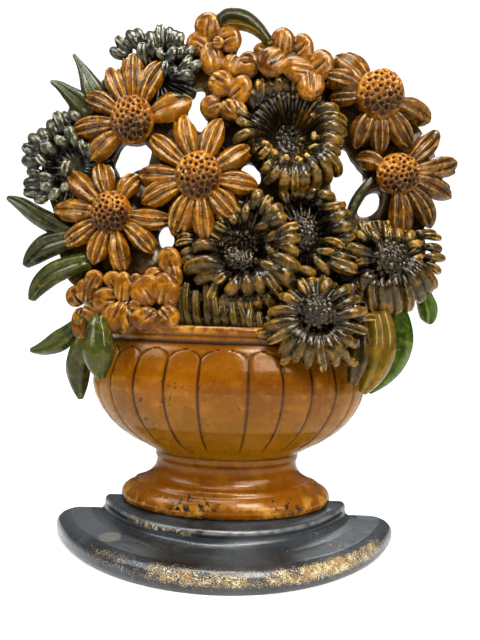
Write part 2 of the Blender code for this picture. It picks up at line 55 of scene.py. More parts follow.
# ------------------------------------------------------------------- shapes
def catmull(points, count):
    """A smooth curve through the points, evenly spaced in parameter."""
    p = np.asarray(points, float)
    if len(p) == 2:
        t = np.linspace(0, 1, count)[:, None]
        return p[0] * (1 - t) + p[1] * t
    step = np.maximum(np.linalg.norm(np.diff(p, axis=0), axis=1), 1e-6) ** 0.5
    at = np.concatenate([[0], np.cumsum(step)])
    t = np.linspace(0, at[-1], count)
    slope = np.zeros_like(p)
    slope[1:-1] = (p[2:] - p[:-2]) / (at[2:] - at[:-2])[:, None]
    slope[0] = 2 * (p[1] - p[0]) / (at[1] - at[0]) - slope[1]
    slope[-1] = 2 * (p[-1] - p[-2]) / (at[-1] - at[-2]) - slope[-2]
    i = np.clip(np.searchsorted(at, t, side="right") - 1, 0, len(p) - 2)
    h = (at[i + 1] - at[i])[:, None]
    u = ((t - at[i])[:, None]) / h
    return (
        (2 * u**3 - 3 * u**2 + 1) * p[i]
        + (u**3 - 2 * u**2 + u) * h * slope[i]
        + (-2 * u**3 + 3 * u**2) * p[i + 1]
        + (u**3 - u**2) * h * slope[i + 1]
    )


def deep(points):
    """(x, z, depth) rows as x, y, z rows."""
    p = np.asarray(points, float)
    return np.stack([p[:, 0], -p[:, 2], p[:, 1]], 1)


class Clay:
    """Overlapping closed shapes in millimetres, fused later."""

    def __init__(self):
        self.points, self.faces, self.count = [], [], 0

    def rings(self, rings, first=None, last=None):
        """A closed tube through rings (n, k, 3), with a point at each end."""
        n, k, _ = rings.shape
        first = rings[0].mean(0) if first is None else np.asarray(first, float)
        last = rings[-1].mean(0) if last is None else np.asarray(last, float)
        base = self.count
        self.points.append(np.concatenate([rings.reshape(-1, 3), first[None], last[None]]))
        j = np.arange(k)
        nj = (j + 1) % k
        i = (np.arange(n - 1) * k)[:, None]
        quads = np.stack([i + j, i + nj, i + k + nj, i + k + j], -1).reshape(-1, 4) + base
        self.faces += quads.tolist()
        tip = n * k + base
        self.faces += np.stack([nj + base, j + base, np.full(k, tip)], -1).tolist()
        end = (n - 1) * k + base
        self.faces += np.stack([j + end, nj + end, np.full(k, tip + 1)], -1).tolist()
        self.count += n * k + 2

    def sweep(self, path, width, height, ridges=0, ridge=0.0, belly=0.7, dish=0.0, k=26, vein=0.0, veins=0, sharp=0.8):
        """A petal, finger, leaf or stem along a path: flat underneath, ridged on top."""
        path = np.asarray(path, float)
        n = len(path)
        tangent = np.gradient(path, axis=0)
        tangent /= np.linalg.norm(tangent, axis=1)[:, None] + 1e-9
        side = np.cross(tangent, FRONT)
        long = np.linalg.norm(side, axis=1)[:, None]
        side = side / np.maximum(long, 1e-6)
        out = np.cross(side, tangent)
        a = 2 * np.pi * np.arange(k) / k
        u = np.sign(np.cos(a)) * np.abs(np.cos(a)) ** 0.9
        lift = np.abs(np.sin(a)) ** sharp
        top = np.sin(a) >= 0
        wave = np.cos(np.pi * ridges * u) if ridges % 2 else -np.cos(np.pi * ridges * u)
        t = np.linspace(0, 1, n)[:, None]
        crest = lift * (1 + (ridge * wave if ridges else 0.0))
        crest = crest[None, :] * np.ones((n, 1))
        if veins:
            crest = crest * (1 + vein * np.sin(2 * np.pi * (t * veins - np.abs(u)[None, :] * 1.1)))
        v = np.where(top[None, :], crest, -belly * lift[None, :])
        w = np.asarray(width, float)[:, None] / 2
        h = np.asarray(height, float)[:, None]
        rings = (
            path[:, None, :]
            + side[:, None, :] * (w * u[None, :])[:, :, None]
            + out[:, None, :] * (h * v - dish * h * (u**2)[None, :])[:, :, None]
        )
        self.rings(rings)

    def mound(self, x, z, rx, rz, turn, back, depth, levels=14, k=44, shrink=0.92):
        """A solid on an oval: its front is depth(rho, phi), its back is flat."""
        phi = 2 * np.pi * np.arange(k) / k
        c, s = math.cos(math.radians(turn)), math.sin(math.radians(turn))
        rows = []
        for rho in np.sin(np.linspace(0.03, math.pi / 2, levels)):
            px, pz = rx * rho * np.cos(phi), rz * rho * np.sin(phi)
            rows.append(np.stack([x + px * c - pz * s, -depth(rho, phi) * np.ones(k), z + px * s + pz * c], 1))
        px, pz = rx * shrink * np.cos(phi), rz * shrink * np.sin(phi)
        rows.append(np.stack([x + px * c - pz * s, np.full(k, -float(back)), z + px * s + pz * c], 1))
        self.rings(np.array(rows))

    def ball(self, x, z, depth, rx, rz=None, ry=None, turn=0.0):
        rz, ry = rz or rx, ry or rx
        c, s = math.cos(math.radians(turn)), math.sin(math.radians(turn))
        k = 10
        phi = 2 * np.pi * np.arange(k) / k
        rows = []
        for a in np.linspace(0.25, math.pi - 0.25, 6):
            px, pz = rx * math.sin(a) * np.cos(phi), rz * math.sin(a) * np.sin(phi)
            rows.append(np.stack([x + px * c - pz * s, np.full(k, -depth - ry * math.cos(a)), z + px * s + pz * c], 1))
        self.rings(np.array(rows), (x, -depth - ry, z), (x, -depth + ry, z))


def petal(clay, x, z, depth, tip_x, tip_z, tip_depth, width, start=9.0, ridges=3, notch=False, ridge=0.3):
    """One ray petal of a daisy, from under the dome out to its blunt or notched tip."""
    reach = math.hypot(tip_x - x, tip_z - z)
    ux, uz = (tip_x - x) / reach, (tip_z - z) / reach
    bend = RNG.uniform(-0.05, 0.05) * reach
    t = np.linspace(0, 1, 28)
    t = 1 - (1 - t) ** 1.25
    along = start + (reach - start) * t
    off = bend * np.sin(math.pi * t)
    rise = depth + (tip_depth - depth) * t + 3.6 * np.sin(math.pi * t**0.85) - 1.0 * t**6
    path = deep(np.stack([x + ux * along - uz * off, z + uz * along + ux * off, rise], 1))
    peak = RNG.uniform(0.52, 0.66)
    body = np.where(t < peak, 0.4 + 0.6 * np.sin(np.clip(t / peak, 0, 1) * math.pi / 2) ** 1.2, 0)
    tip = np.clip(1 - np.clip((t - peak) / (1 - peak), 0, 1) ** 2.0, 0, 1) ** 0.72
    shape = np.where(t < peak, body, tip)
    shape[-1] = 0.06
    w = width * np.maximum(shape, 0.06)
    h = 3.1 * np.clip(np.sqrt(np.maximum(shape, 0.0)), 0.12, 1) * np.where(t > 0.9, 0.85, 1.0)
    clay.sweep(path, w, h, ridges=ridges, ridge=ridge, belly=0.95, dish=0.35, k=40)
    if notch:
        a = notch
        side_x = x + (tip_x - x) * math.cos(a) - (tip_z - z) * math.sin(a)
        side_z = z + (tip_x - x) * math.sin(a) + (tip_z - z) * math.cos(a)
        petal(clay, x, z, depth - 0.5, x + (side_x - x) * 0.95, z + (side_z - z) * 0.95, tip_depth - 0.6, width * 0.62, start, 1, False, 0.12)


def finger(clay, points, width, plump=0.5, ridges=0, ridge=0.12, tip=0.62, count=20):
    """One rolled petal of a zinnia, through (x, z, depth) points, round at its tip."""
    path = deep(catmull(points, count))
    t = np.linspace(0, 1, count)
    taper = np.clip((t - tip) / (1 - tip), 0, 1)
    end = np.sqrt(np.clip(1 - taper**2.4, 0, 1))
    swell_up = 0.62 + 0.38 * np.sin(np.clip(t / 0.66, 0, 1) * math.pi / 2)
    w = width * swell_up * np.maximum(end, 0.14) * np.clip(0.35 + t * 9, 0, 1)
    h = width * plump * np.maximum(end, 0.22) * (0.8 + 0.3 * t)
    clay.sweep(path, w, h, ridges=ridges, ridge=ridge, belly=1.0, k=26, sharp=0.72)


def seeds(clay, x, z, radius, depth, count, size, spread=1.0, turn=0.0, squash=1.0):
    """Seeds in golden-angle order over a surface depth(rho)."""
    for i in range(count):
        rho = math.sqrt((i + 0.5) / count) * spread
        a = i * 2.39996 + turn
        clay.ball(x + radius * rho * math.cos(a), z + radius * squash * rho * math.sin(a), depth(rho), size)


# ---------------------------------------------------------------- numbers, mm
# name, centre (x, z), depth of the dome's foot, dome radius, dome height, lean, petals (tip x, tip z, width, tip depth)
DAISIES = [
    ("daisy_upper_left", (-55.8, 226.9), 15, 11.3, 9.5, (-0.1, 0.1), [
        (-72.1, 259.6, 10.0, 10), (-57.8, 266.8, 10.5, 13), (-41.3, 263.4, 12.2, 12),
        (-24.6, 240.7, 14.7, 17), (-84.8, 243.5, 11.2, 9), (-92.0, 223.7, 11.7, 9),
        (-81.1, 208.0, 12.2, 12),
    ]),
    ("daisy_middle", (-18.7, 195.5), 25, 11.4, 9.0, (-0.02, 0.02), [
        (-28.3, 230.7, 11.8, 20), (-8.4, 229.2, 11.8, 20), (-46.2, 219.9, 11.4, 17),
        (-51.9, 198.8, 11.9, 18), (-49.6, 183.0, 12.9, 19), (-31.9, 165.2, 11.2, 22),
        (-14.5, 162.1, 11.1, 25), (1.4, 175.8, 13.2, 25), (12.5, 192.8, 11.6, 24),
        (7.1, 214.4, 10.7, 22),
    ]),
    ("daisy_left", (-65.3, 177.0), 17, 10.7, 9.0, (-0.14, 0.0), [
        (-92.9, 201.3, 11.7, 9), (-74.9, 205.4, 10.5, 12), (-52.5, 198.6, 10.9, 15),
        (-101.0, 180.0, 12.3, 8), (-94.1, 160.8, 11.1, 10), (-76.1, 149.7, 11.5, 15),
        (-58.1, 144.4, 10.8, 19), (-42.3, 156.2, 10.8, 19), (-33.3, 175.1, 11.4, 18),
    ]),
    ("daisy_upper_right", (76.5, 244.2), 16, 11.8, 10.0, (0.08, 0.06), [
        (53.5, 270.2, 12.8, 10), (47.9, 258.5, 10.0, 12), (51.4, 246.8, 9.5, 10),
        (66.1, 218.3, 12.1, 13), (79.2, 214.6, 10.4, 14), (96.7, 220.2, 12.7, 12),
        (107.9, 236.1, 12.3, 9),
    ]),
    ("daisy_right", (87.7, 203.1), 15, 10.7, 7.5, (0.14, 0.0), [
        (67.3, 213.5, 11.1, 11), (112.5, 230.7, 11.2, 9), (124.5, 214.3, 11.3, 7),
        (121.8, 194.0, 11.3, 7), (110.3, 176.4, 11.7, 9), (91.9, 167.9, 13.2, 13),
    ]),
]
# rounded blossom petals: (x, z), half width, half height, turn in degrees, depth of the crown
BLOSSOMS = {
    "blossoms_top": [
        ((-17.3, 282.8), 6.3, 6.3, 0, 16),
        ((-5.6, 275.5), 5.7, 6.2, 20, 17),
        ((-22.6, 273.4), 5.5, 5.5, 0, 15),
        ((-15.0, 264.4), 5.4, 7.6, 0, 17),
        ((-11.4, 271.5), 2.7, 2.7, 0, 19),
        ((-3.5, 260.9), 5.2, 5.2, 0, 17),
        ((5.7, 261.8), 5.2, 6.0, 0, 17),
        ((-9.0, 249.1), 5.9, 5.9, 0, 21),
        ((1.3, 245.7), 5.1, 7.0, -20, 21),
        ((-14.0, 236.5), 5.1, 5.4, 0, 20),
        ((-3.7, 235.3), 5.3, 4.8, 0, 21),
        ((1.1, 233.9), 3.7, 4.3, 0, 21),
        ((17.9, 261.2), 6.7, 6.7, 0, 22),
        ((23.9, 276.0), 5.7, 6.6, 0, 15),
        ((35.6, 273.6), 4.7, 6.6, 10, 14),
        ((32.4, 257.4), 7.7, 5.6, -25, 22),
        ((39.3, 247.6), 5.8, 6.3, -35, 24),
        ((45.8, 263.0), 5.7, 7.1, 10, 17),
        ((12.6, 271.8), 3.9, 3.3, 0, 13),
    ],
    "blossoms_lower_left": [
        ((-56.5, 136.8), 4.2, 6.7, 0, 29),
        ((-65.7, 129.8), 6.3, 5.8, 0, 27),
        ((-73.2, 123.9), 5.0, 4.8, 0, 24),
        ((-79.0, 135.1), 4.3, 5.4, 0, 20),
        ((-73.8, 141.0), 4.3, 4.3, 0, 22),
        ((-63.2, 141.2), 4.2, 3.7, 0, 24),
        ((-60.2, 120.6), 5.7, 7.7, -38, 31),
        ((-49.4, 127.6), 2.6, 2.1, 0, 32),
        ((-44.0, 135.5), 6.7, 7.2, -44, 32),
        ((-33.6, 135.7), 5.6, 7.7, 14, 33),
        ((-43.0, 120.6), 6.6, 5.1, 0, 35),
        ((-31.8, 121.5), 5.1, 5.6, 0, 35),
        ((-32.6, 151.6), 5.2, 6.2, 20, 29),
        ((-41.5, 142.6), 4.2, 4.7, -30, 27),
        ((-30.1, 142.7), 4.1, 5.2, 0, 30),
        ((-50.3, 138.7), 3.7, 4.7, 0, 27),
        ((-81.5, 117.3), 4.0, 7.0, 0, 19),
        ((-85.6, 131.8), 4.4, 4.9, 0, 16),
        ((-52.4, 118.8), 4.6, 5.7, -28, 31),
    ],
}
# name, paint, centreline (x, z, depth, width), thickness
LEAVES = [
    ("leaf_far_left_top", "leaf_dark", [(-89.0, 165.6, 9, 8.9), (-99.3, 170.9, 9, 11.2), (-110.5, 176.9, 8, 10.7), (-120.5, 183.2, 6, 7.9), (-128.5, 186.6, 5, 2.8)], 6.0),
    ("leaf_far_left_middle", "leaf_dark", [(-82.8, 165.5, 11, 8.9), (-93.1, 163.1, 10, 12.3), (-103.9, 159.6, 9, 14.0), (-111.9, 154.0, 7, 10.7), (-117.0, 148.4, 5, 4.0)], 6.5),
    ("leaf_far_left_low", "leaf_green", [(-78.4, 152.0, 13, 9.4), (-89.7, 148.5, 12, 11.6), (-100.3, 143.9, 10, 12.3), (-108.1, 137.1, 8, 10.1), (-112.6, 129.2, 6, 4.0)], 6.5),
    ("leaf_top_left_a", "leaf_dark", [(-77.7, 241.6, 10, 14.5), (-81.6, 248.6, 9, 12.9), (-85.8, 256.7, 7, 8.4), (-89.7, 263.3, 6, 4.5), (-93.6, 268.8, 5, 2.3)], 5.0),
    ("leaf_top_left_b", "leaf_dark", [(-81.1, 234.1, 9, 14.5), (-87.8, 240.5, 8, 13.5), (-95.0, 246.3, 7, 9.0), (-100.6, 250.6, 6, 5.7), (-106.1, 253.1, 5, 2.3)], 5.0),
    ("leaf_low_left", "leaf_green", [(-78.1, 120.1, 18, 7.0), (-86.8, 112.7, 14, 9.9), (-94.5, 106.8, 12, 12.2), (-103.8, 102.5, 9, 8.4), (-111.9, 101.0, 7, 2.8)], 6.0),
    ("leaf_low_left_drop", "leaf_green", [(-79.5, 109.1, 16, 8.7), (-82.0, 100.2, 14, 13.2), (-83.5, 91.1, 12, 13.8), (-83.6, 82.5, 9, 10.1), (-82.9, 74.3, 7, 2.8)], 6.0),
    ("leaf_over_bowl", "leaf_green", [(-68.5, 121.3, 31, 7.2), (-67.4, 113.7, 32, 13.3), (-66.6, 105.1, 34, 16.3), (-65.8, 97.0, 34, 13.2), (-64.3, 89.3, 33, 3.1)], 6.5),
    ("bud_right", "leaf_bright", [(104.0, 142.3, 14, 6.6), (106.7, 136.4, 13, 9.4), (108.9, 130.9, 12, 10.5), (109.8, 126.0, 10, 8.4), (109.7, 123.2, 9, 3.4)], 8.0),
    ("leaf_right_front", "stem", [(62.9, 129.6, 30, 10.3), (64.6, 119.4, 33, 12.3), (65.2, 110.3, 36, 12.1), (64.7, 101.3, 37, 10.1), (62.7, 91.1, 36, 5.0)], 6.0),
    ("leaf_right_side", "leaf_gold", [(76.9, 131.4, 20, 11.8), (79.4, 119.7, 24, 15.9), (78.9, 108.2, 27, 16.7), (75.8, 96.7, 28, 13.0), (69.9, 85.6, 28, 4.2)], 7.0),
    ("leaf_right_bright", "leaf_bright", [(85.6, 134.1, 12, 13.3), (90.4, 123.2, 12, 18.2), (91.3, 110.5, 12, 19.9), (87.3, 97.6, 12, 15.5), (77.2, 84.0, 12, 3.9)], 7.0),
    ("leaf_top_arch", "leaf_dark", [(-11.9, 285.2, 16, 4.9), (-4.9, 287.7, 15, 6.6), (3.3, 286.9, 14, 7.1), (10.6, 282.2, 13, 6.6), (16.9, 274.1, 13, 5.0)], 7.5),
    ("leaf_top_under", "leaf_gold", [(-9.7, 282.6, 14, 4.2), (-2.6, 284.0, 13, 4.4), (5.6, 282.6, 13, 4.2), (12.4, 278.4, 13, 4.0), (17.4, 272.6, 13, 4.2)], 5.5),
    ("stem_right", "leaf_dark", [(78.1, 203.9, 11, 5.0), (72.5, 197.9, 12, 5.5), (67.7, 191.1, 12, 5.5), (64.7, 183.2, 12, 5.5), (62.7, 175.4, 12, 5.0)], 6.0),
    ("leaf_centre_tuft", "leaf_dark", [(-14.9, 162.9, 20, 5.4), (-12.8, 154.9, 24, 6.9), (-9.3, 148.5, 26, 4.7)], 6.0),
]
STEMS = [
    ((-26.7, 137.3), (-24.4, 114.9), 27, 4.2),
    ((-23.0, 139.5), (-20.7, 115.1), 28, 4.2),
    ((-18.1, 135.4), (-15.9, 115.2), 29, 4.7),
    ((-13.0, 138.7), (-11.2, 115.4), 29, 4.2),
    ((-8.6, 132.5), (-6.5, 115.5), 30, 4.7),
    ((-3.9, 131.7), (-1.9, 115.7), 30, 4.1),
    ((0.8, 129.7), (2.8, 115.9), 31, 4.6),
    ((5.5, 127.8), (7.5, 115.5), 31, 4.1),
    ((10.2, 126.9), (11.5, 115.6), 32, 4.6),
    ((14.8, 125.0), (16.7, 115.3), 32, 4.1),
    ((-29.7, 133.1), (-28.1, 115.3), 27, 4.2),
    ((19.5, 123.1), (21.2, 115.5), 33, 4.1),
    ((24.1, 121.2), (25.9, 115.1), 33, 4.1),
    ((28.8, 119.3), (30.5, 115.2), 33, 4.1),
]
PIERCINGS = [
    [(-64.5, 217.2), (-59.5, 219.6), (-53.8, 219.8), (-49.8, 217.7), (-47.5, 214.9), (-48.5, 210.4), (-50.1, 206.9), (-57.3, 203.9), (-64.5, 200.2), (-66.9, 204.1), (-68.7, 208.0), (-67.2, 212.6)],
    [(-23.7, 250.7), (-20.9, 250.8), (-18.6, 249.2), (-17.8, 241.8), (-16.5, 236.2), (-17.5, 231.1), (-20.7, 227.6), (-24.8, 230.9), (-27.8, 234.8), (-27.9, 240.4), (-27.5, 246.1)],
    [(-41.6, 171.6), (-39.4, 173.3), (-37.1, 173.4), (-35.3, 170.1), (-33.5, 166.2), (-34.0, 162.8), (-35.6, 160.5), (-39.0, 160.3), (-41.3, 163.1), (-42.6, 167.6)],
    [(3.1, 207.5), (5.8, 210.4), (9.2, 210.5), (12.1, 208.9), (13.9, 206.1), (14.5, 202.2), (13.5, 198.7), (9.5, 199.7), (6.1, 201.9)],
    [(60.3, 221.7), (63.2, 219.5), (65.6, 215.1), (69.1, 210.7), (72.7, 205.7), (72.2, 201.1), (71.2, 197.7), (68.5, 193.1), (65.3, 187.9), (63.1, 185.6), (60.2, 187.2), (57.8, 192.2), (54.8, 196.6), (54.1, 202.3), (55.7, 206.8), (59.0, 209.2), (58.2, 216.0)],
    [(74.2, 193.9), (77.5, 195.7), (80.9, 195.8), (82.1, 192.4), (81.7, 187.9), (79.0, 184.4), (75.6, 182.6), (71.1, 182.5), (69.9, 185.2), (72.0, 189.8)],
]
PLATE = [(-27.8, 129.5), (-76.8, 132.7), (-91.6, 139.6), (-95.5, 147.4), (-98.4, 155.3), (-99.8, 163.3), (-100.8, 171.3), (-102.5, 179.2), (-105.4, 187.1), (-108.4, 195.0), (-110.1, 202.9), (-109.7, 210.9), (-106.5, 218.9), (-101.2, 227.0), (-97.0, 235.1), (-94.2, 243.1), (-86.0, 249.0), (-78.0, 254.5), (-68.0, 262.0), (-49.7, 275.1), (-22.5, 277.5), (-12, 277.0), (-5.0, 273.5), (0.0, 268.8), (7.0, 267.8), (13.5, 270.0), (19.0, 273.0), (27.0, 274.5), (36.0, 274.5), (55.4, 270.8), (71.0, 263.7), (82.4, 256.3), (91.1, 248.8), (98.1, 241.2), (103.7, 233.5), (108.9, 225.7), (113.3, 217.9), (115.3, 210.0), (114.7, 202.0), (112.3, 193.9), (109.6, 185.9), (108.3, 177.9), (108.9, 169.8), (109.7, 161.8), (108.9, 153.7), (107.1, 145.7), (93.5, 137.9), (44.6, 131.7)]
# rolled petals of the dark flowers: (x, z, depth) along each, and its width
FINGERS_TRUMPET = [
    ([(43.0, 233.7, 20), (47.9, 234.6, 25), (54.0, 234.5, 20)], 5.9),
    ([(43.2, 228.9, 20), (49.6, 229.1, 27), (58.1, 227.5, 20)], 6.2),
    ([(43.8, 224.1, 20), (49.6, 223.8, 28), (58.5, 221.8, 21)], 6.2),
    ([(44.3, 219.5, 21), (49.3, 217.6, 28), (56.6, 216.6, 22)], 6.1),
    ([(43.8, 214.3, 22), (49.0, 212.7, 28), (54.9, 210.9, 22)], 5.2),
    ([(43.7, 211.1, 23), (48.5, 207.9, 29), (53.3, 204.5, 24), (54.6, 202.1, 16)], 5.7),
    ([(40.8, 209.3, 24), (45.2, 205.2, 30), (48.8, 200.4, 26), (49.4, 196.1, 18)], 5.8),
    ([(38.4, 206.5, 25), (41.0, 200.6, 31), (42.7, 196.4, 28), (42.8, 193.9, 20)], 5.4),
    ([(35.1, 204.2, 26), (35.9, 196.9, 32), (36.2, 193.6, 29), (36.4, 192.2, 22)], 5.8),
    ([(30.9, 203.6, 26), (30.7, 196.7, 32), (31.1, 193.4, 29), (31.4, 192.0, 22)], 5.6),
    ([(27.1, 203.0, 26), (26.0, 196.1, 32), (25.8, 192.8, 29), (25.5, 190.9, 22)], 5.4),
    ([(23.4, 204.2, 25), (21.7, 198.1, 31), (19.3, 196.0, 27), (17.4, 195.5, 20)], 5.1),
    ([(19.6, 206.9, 25), (17.1, 201.5, 30), (15.2, 200.3, 23)], 5.1),
    ([(18.0, 213.0, 24), (15.8, 209.4, 28), (14.4, 208.8, 22)], 5.3),
    ([(11.7, 220.5, 22), (5.0, 218.9, 27), (-0.6, 216.5, 20)], 5.2),
    ([(9.7, 225.0, 20), (4.4, 225.2, 25), (0.5, 228.4, 18)], 4.6),
    ([(8.2, 230.5, 18), (3.3, 231.6, 22), (-0.3, 236.4, 15)], 4.4),
    ([(13.1, 239.7, 8), (12.4, 248.9, 12), (11.7, 254.3, 13)], 7.3),
    ([(18.1, 242.3, 7), (17.2, 249.0, 12), (16.7, 254.0, 13)], 7.3),
    ([(23.1, 243.5, 7), (22.3, 251.2, 12), (21.9, 255.6, 13)], 7.6),
    ([(27.6, 243.6, 7), (26.4, 251.3, 12), (25.7, 255.7, 13)], 7.3),
    ([(32.1, 243.8, 7), (31.7, 249.5, 12), (31.7, 253.5, 13)], 7.3),
    ([(36.6, 242.5, 8), (36.1, 246.2, 13), (35.7, 249.2, 14)], 7.0),
    ([(40.4, 239.7, 10), (42.3, 241.2, 17), (44.1, 244.7, 17)], 5.8),
    ([(9.6, 237.8, 10), (7.6, 243.8, 13), (6.5, 248.7, 13)], 6.5),
]
FINGERS_TRUMPET_SEEDS = [
    ([(13.7, 215.5, 24), (18.0, 213.0, 25)], 4.3), ([(18.9, 211.2, 26), (21.5, 207.2, 27)], 4.4),
    ([(24.1, 205.4, 27), (28.7, 207.1, 28)], 4.5), ([(31.5, 206.8, 28), (34.4, 203.6, 28)], 5.1),
    ([(36.6, 209.1, 27), (38.7, 205.8, 28)], 3.8), ([(40.7, 222.0, 24), (42.0, 217.8, 24)], 3.8),
    ([(38.2, 213.1, 25), (43.8, 214.9, 25)], 2.8), ([(39.7, 232.6, 20), (42.5, 230.9, 21)], 2.9),
]
FINGERS_CENTRE = [
    ([(10.5, 181.1, 27), (11.7, 184.4, 29), (12.7, 188.4, 26)], 6.4),
    ([(14.8, 177.9, 28), (16.5, 181.2, 30), (18.7, 185.4, 26)], 6.4),
    ([(16.5, 174.0, 29), (20.4, 177.2, 32), (24.3, 180.5, 28)], 6.9),
    ([(19.2, 171.2, 30), (22.6, 172.9, 33), (26.1, 175.7, 30)], 6.3),
    ([(12.5, 169.5, 27), (16.6, 170.8, 29), (20.4, 171.0, 27)], 5.6),
    ([(24.0, 167.0, 31), (27.3, 168.6, 34), (32.8, 170.4, 31)], 6.6),
    ([(17.9, 162.9, 29), (20.4, 164.8, 31), (23.6, 166.8, 29)], 5.4),
    ([(23.0, 161.5, 32), (27.9, 163.0, 35), (34.4, 164.3, 32)], 6.0),
    ([(22.5, 160.0, 32), (28.5, 158.8, 36), (33.0, 155.4, 33)], 5.7),
    ([(17.4, 159.6, 30), (19.7, 157.3, 32), (21.2, 155.3, 31)], 4.1),
    ([(20.1, 155.7, 32), (26.5, 151.9, 37), (34.7, 148.4, 34)], 7.1),
    ([(14.5, 151.4, 31), (18.0, 149.6, 34), (22.9, 148.4, 32)], 6.3),
    ([(20.8, 148.4, 32), (26.3, 145.1, 36), (31.6, 139.9, 31)], 8.0),
    ([(15.7, 146.7, 31), (20.3, 141.3, 35), (26.2, 135.1, 29)], 6.6),
    ([(13.0, 146.7, 31), (14.1, 140.6, 35), (16.1, 134.8, 29)], 5.9),
    ([(7.8, 144.3, 32), (8.2, 139.8, 36), (8.9, 135.0, 30)], 6.5),
    ([(3.2, 143.1, 32), (1.3, 138.1, 35), (-1.9, 135.3, 29)], 7.1),
    ([(-2.1, 144.6, 31), (-5.1, 142.7, 34), (-7.9, 140.9, 29)], 5.9),
    ([(-4.9, 148.7, 31), (-14.2, 150.2, 34), (-23.6, 145.9, 27)], 8.2),
    ([(-4.3, 146.1, 31), (-11.0, 144.2, 32), (-18.7, 140.7, 27)], 7.5),
    ([(-9.5, 157.3, 29), (-14.6, 159.2, 33), (-19.6, 157.1, 28)], 6.1),
    ([(-19.4, 161.7, 26), (-24.6, 161.7, 28), (-29.9, 160.2, 23)], 3.9),
    ([(-20.8, 164.1, 24), (-24.4, 165.0, 26), (-29.2, 164.3, 21)], 3.4),
    ([(-18.7, 157.8, 27), (-22.2, 156.9, 29), (-26.4, 155.3, 24)], 4.0),
    ([(-18.1, 154.2, 26), (-21.1, 152.8, 28), (-25.8, 151.5, 24)], 4.9),
    ([(-6.9, 140.9, 29), (-9.2, 136.0, 31), (-10.6, 131.5, 24)], 6.6),
    ([(-1.9, 135.8, 29), (-3.3, 131.4, 31), (-4.4, 126.8, 25)], 5.9),
    ([(1.3, 134.8, 29), (0.4, 130.5, 31), (0.2, 125.9, 25)], 5.0),
    ([(5.0, 134.9, 29), (4.9, 130.6, 31), (5.3, 126.0, 25)], 5.2),
    ([(9.2, 135.1, 29), (9.1, 130.2, 31), (9.6, 126.1, 25)], 5.4),
    ([(13.4, 135.7, 29), (13.8, 131.4, 31), (14.9, 127.9, 25)], 5.5),
    ([(17.6, 137.5, 29), (19.3, 132.7, 31), (21.8, 129.8, 25)], 5.9),
    ([(23.9, 139.2, 29), (27.1, 135.0, 31), (29.8, 132.2, 25)], 6.2),
    ([(29.1, 142.1, 29), (33.8, 138.9, 31), (38.2, 136.7, 26)], 6.2),
    ([(34.0, 148.9, 31), (38.0, 147.8, 33), (42.8, 146.2, 29)], 6.1),
    ([(6.0, 173.0, 24), (6.3, 177.3, 27), (7.3, 182.3, 24)], 5.3),
    ([(1.1, 171.8, 24), (0.0, 173.9, 27), (-1.7, 177.1, 24)], 5.3),
    ([(-3.0, 168.3, 25), (-6.2, 169.4, 27), (-9.7, 171.7, 23)], 5.3),
    ([(36.5, 144.4, 29), (41.4, 142.2, 32), (44.6, 138.8, 29)], 5.8),
]
FINGERS_RIGHT_CENTRE = [
    ([(43.0, 188.4, 24), (46.6, 188.0, 28), (52.7, 187.0, 24)], 5.5),
    ([(46.6, 181.0, 26), (51.1, 181.1, 31), (57.6, 183.3, 27)], 6.0),
    ([(48.8, 175.5, 27), (53.1, 175.7, 32), (59.9, 178.9, 28)], 6.7),
    ([(50.9, 169.5, 28), (55.2, 170.3, 33), (62.6, 172.6, 29)], 6.8),
    ([(52.7, 165.3, 28), (57.1, 165.3, 32), (63.0, 167.1, 29)], 5.1),
    ([(46.2, 163.4, 29), (51.1, 163.3, 34), (57.5, 160.3, 31)], 4.5),
    ([(42.0, 157.8, 30), (46.6, 157.9, 34), (53.4, 157.5, 31)], 4.0),
    ([(52.2, 157.7, 29), (55.7, 156.3, 33), (60.0, 154.1, 30)], 3.6),
    ([(41.0, 155.7, 30), (44.7, 151.6, 34), (50.2, 146.5, 30)], 4.1),
    ([(50.7, 153.4, 29), (55.6, 150.9, 34), (63.6, 148.9, 31)], 9.0),
    ([(46.2, 146.4, 29), (47.9, 143.1, 32), (51.3, 139.8, 28)], 4.8),
    ([(38.4, 186.0, 22), (40.6, 189.1, 25), (43.7, 193.2, 22)], 5.7),
    ([(32.0, 187.1, 21), (32.1, 190.2, 24), (32.9, 195.6, 20)], 5.7),
    ([(28.2, 184.0, 22), (26.7, 187.6, 25), (25.3, 191.8, 21)], 5.7),
    ([(35.8, 186.7, 21), (36.4, 190.3, 24), (37.9, 195.2, 20)], 5.0),
    ([(42.2, 183.7, 23), (45.4, 185.3, 26), (49.1, 188.8, 23)], 4.9),
]
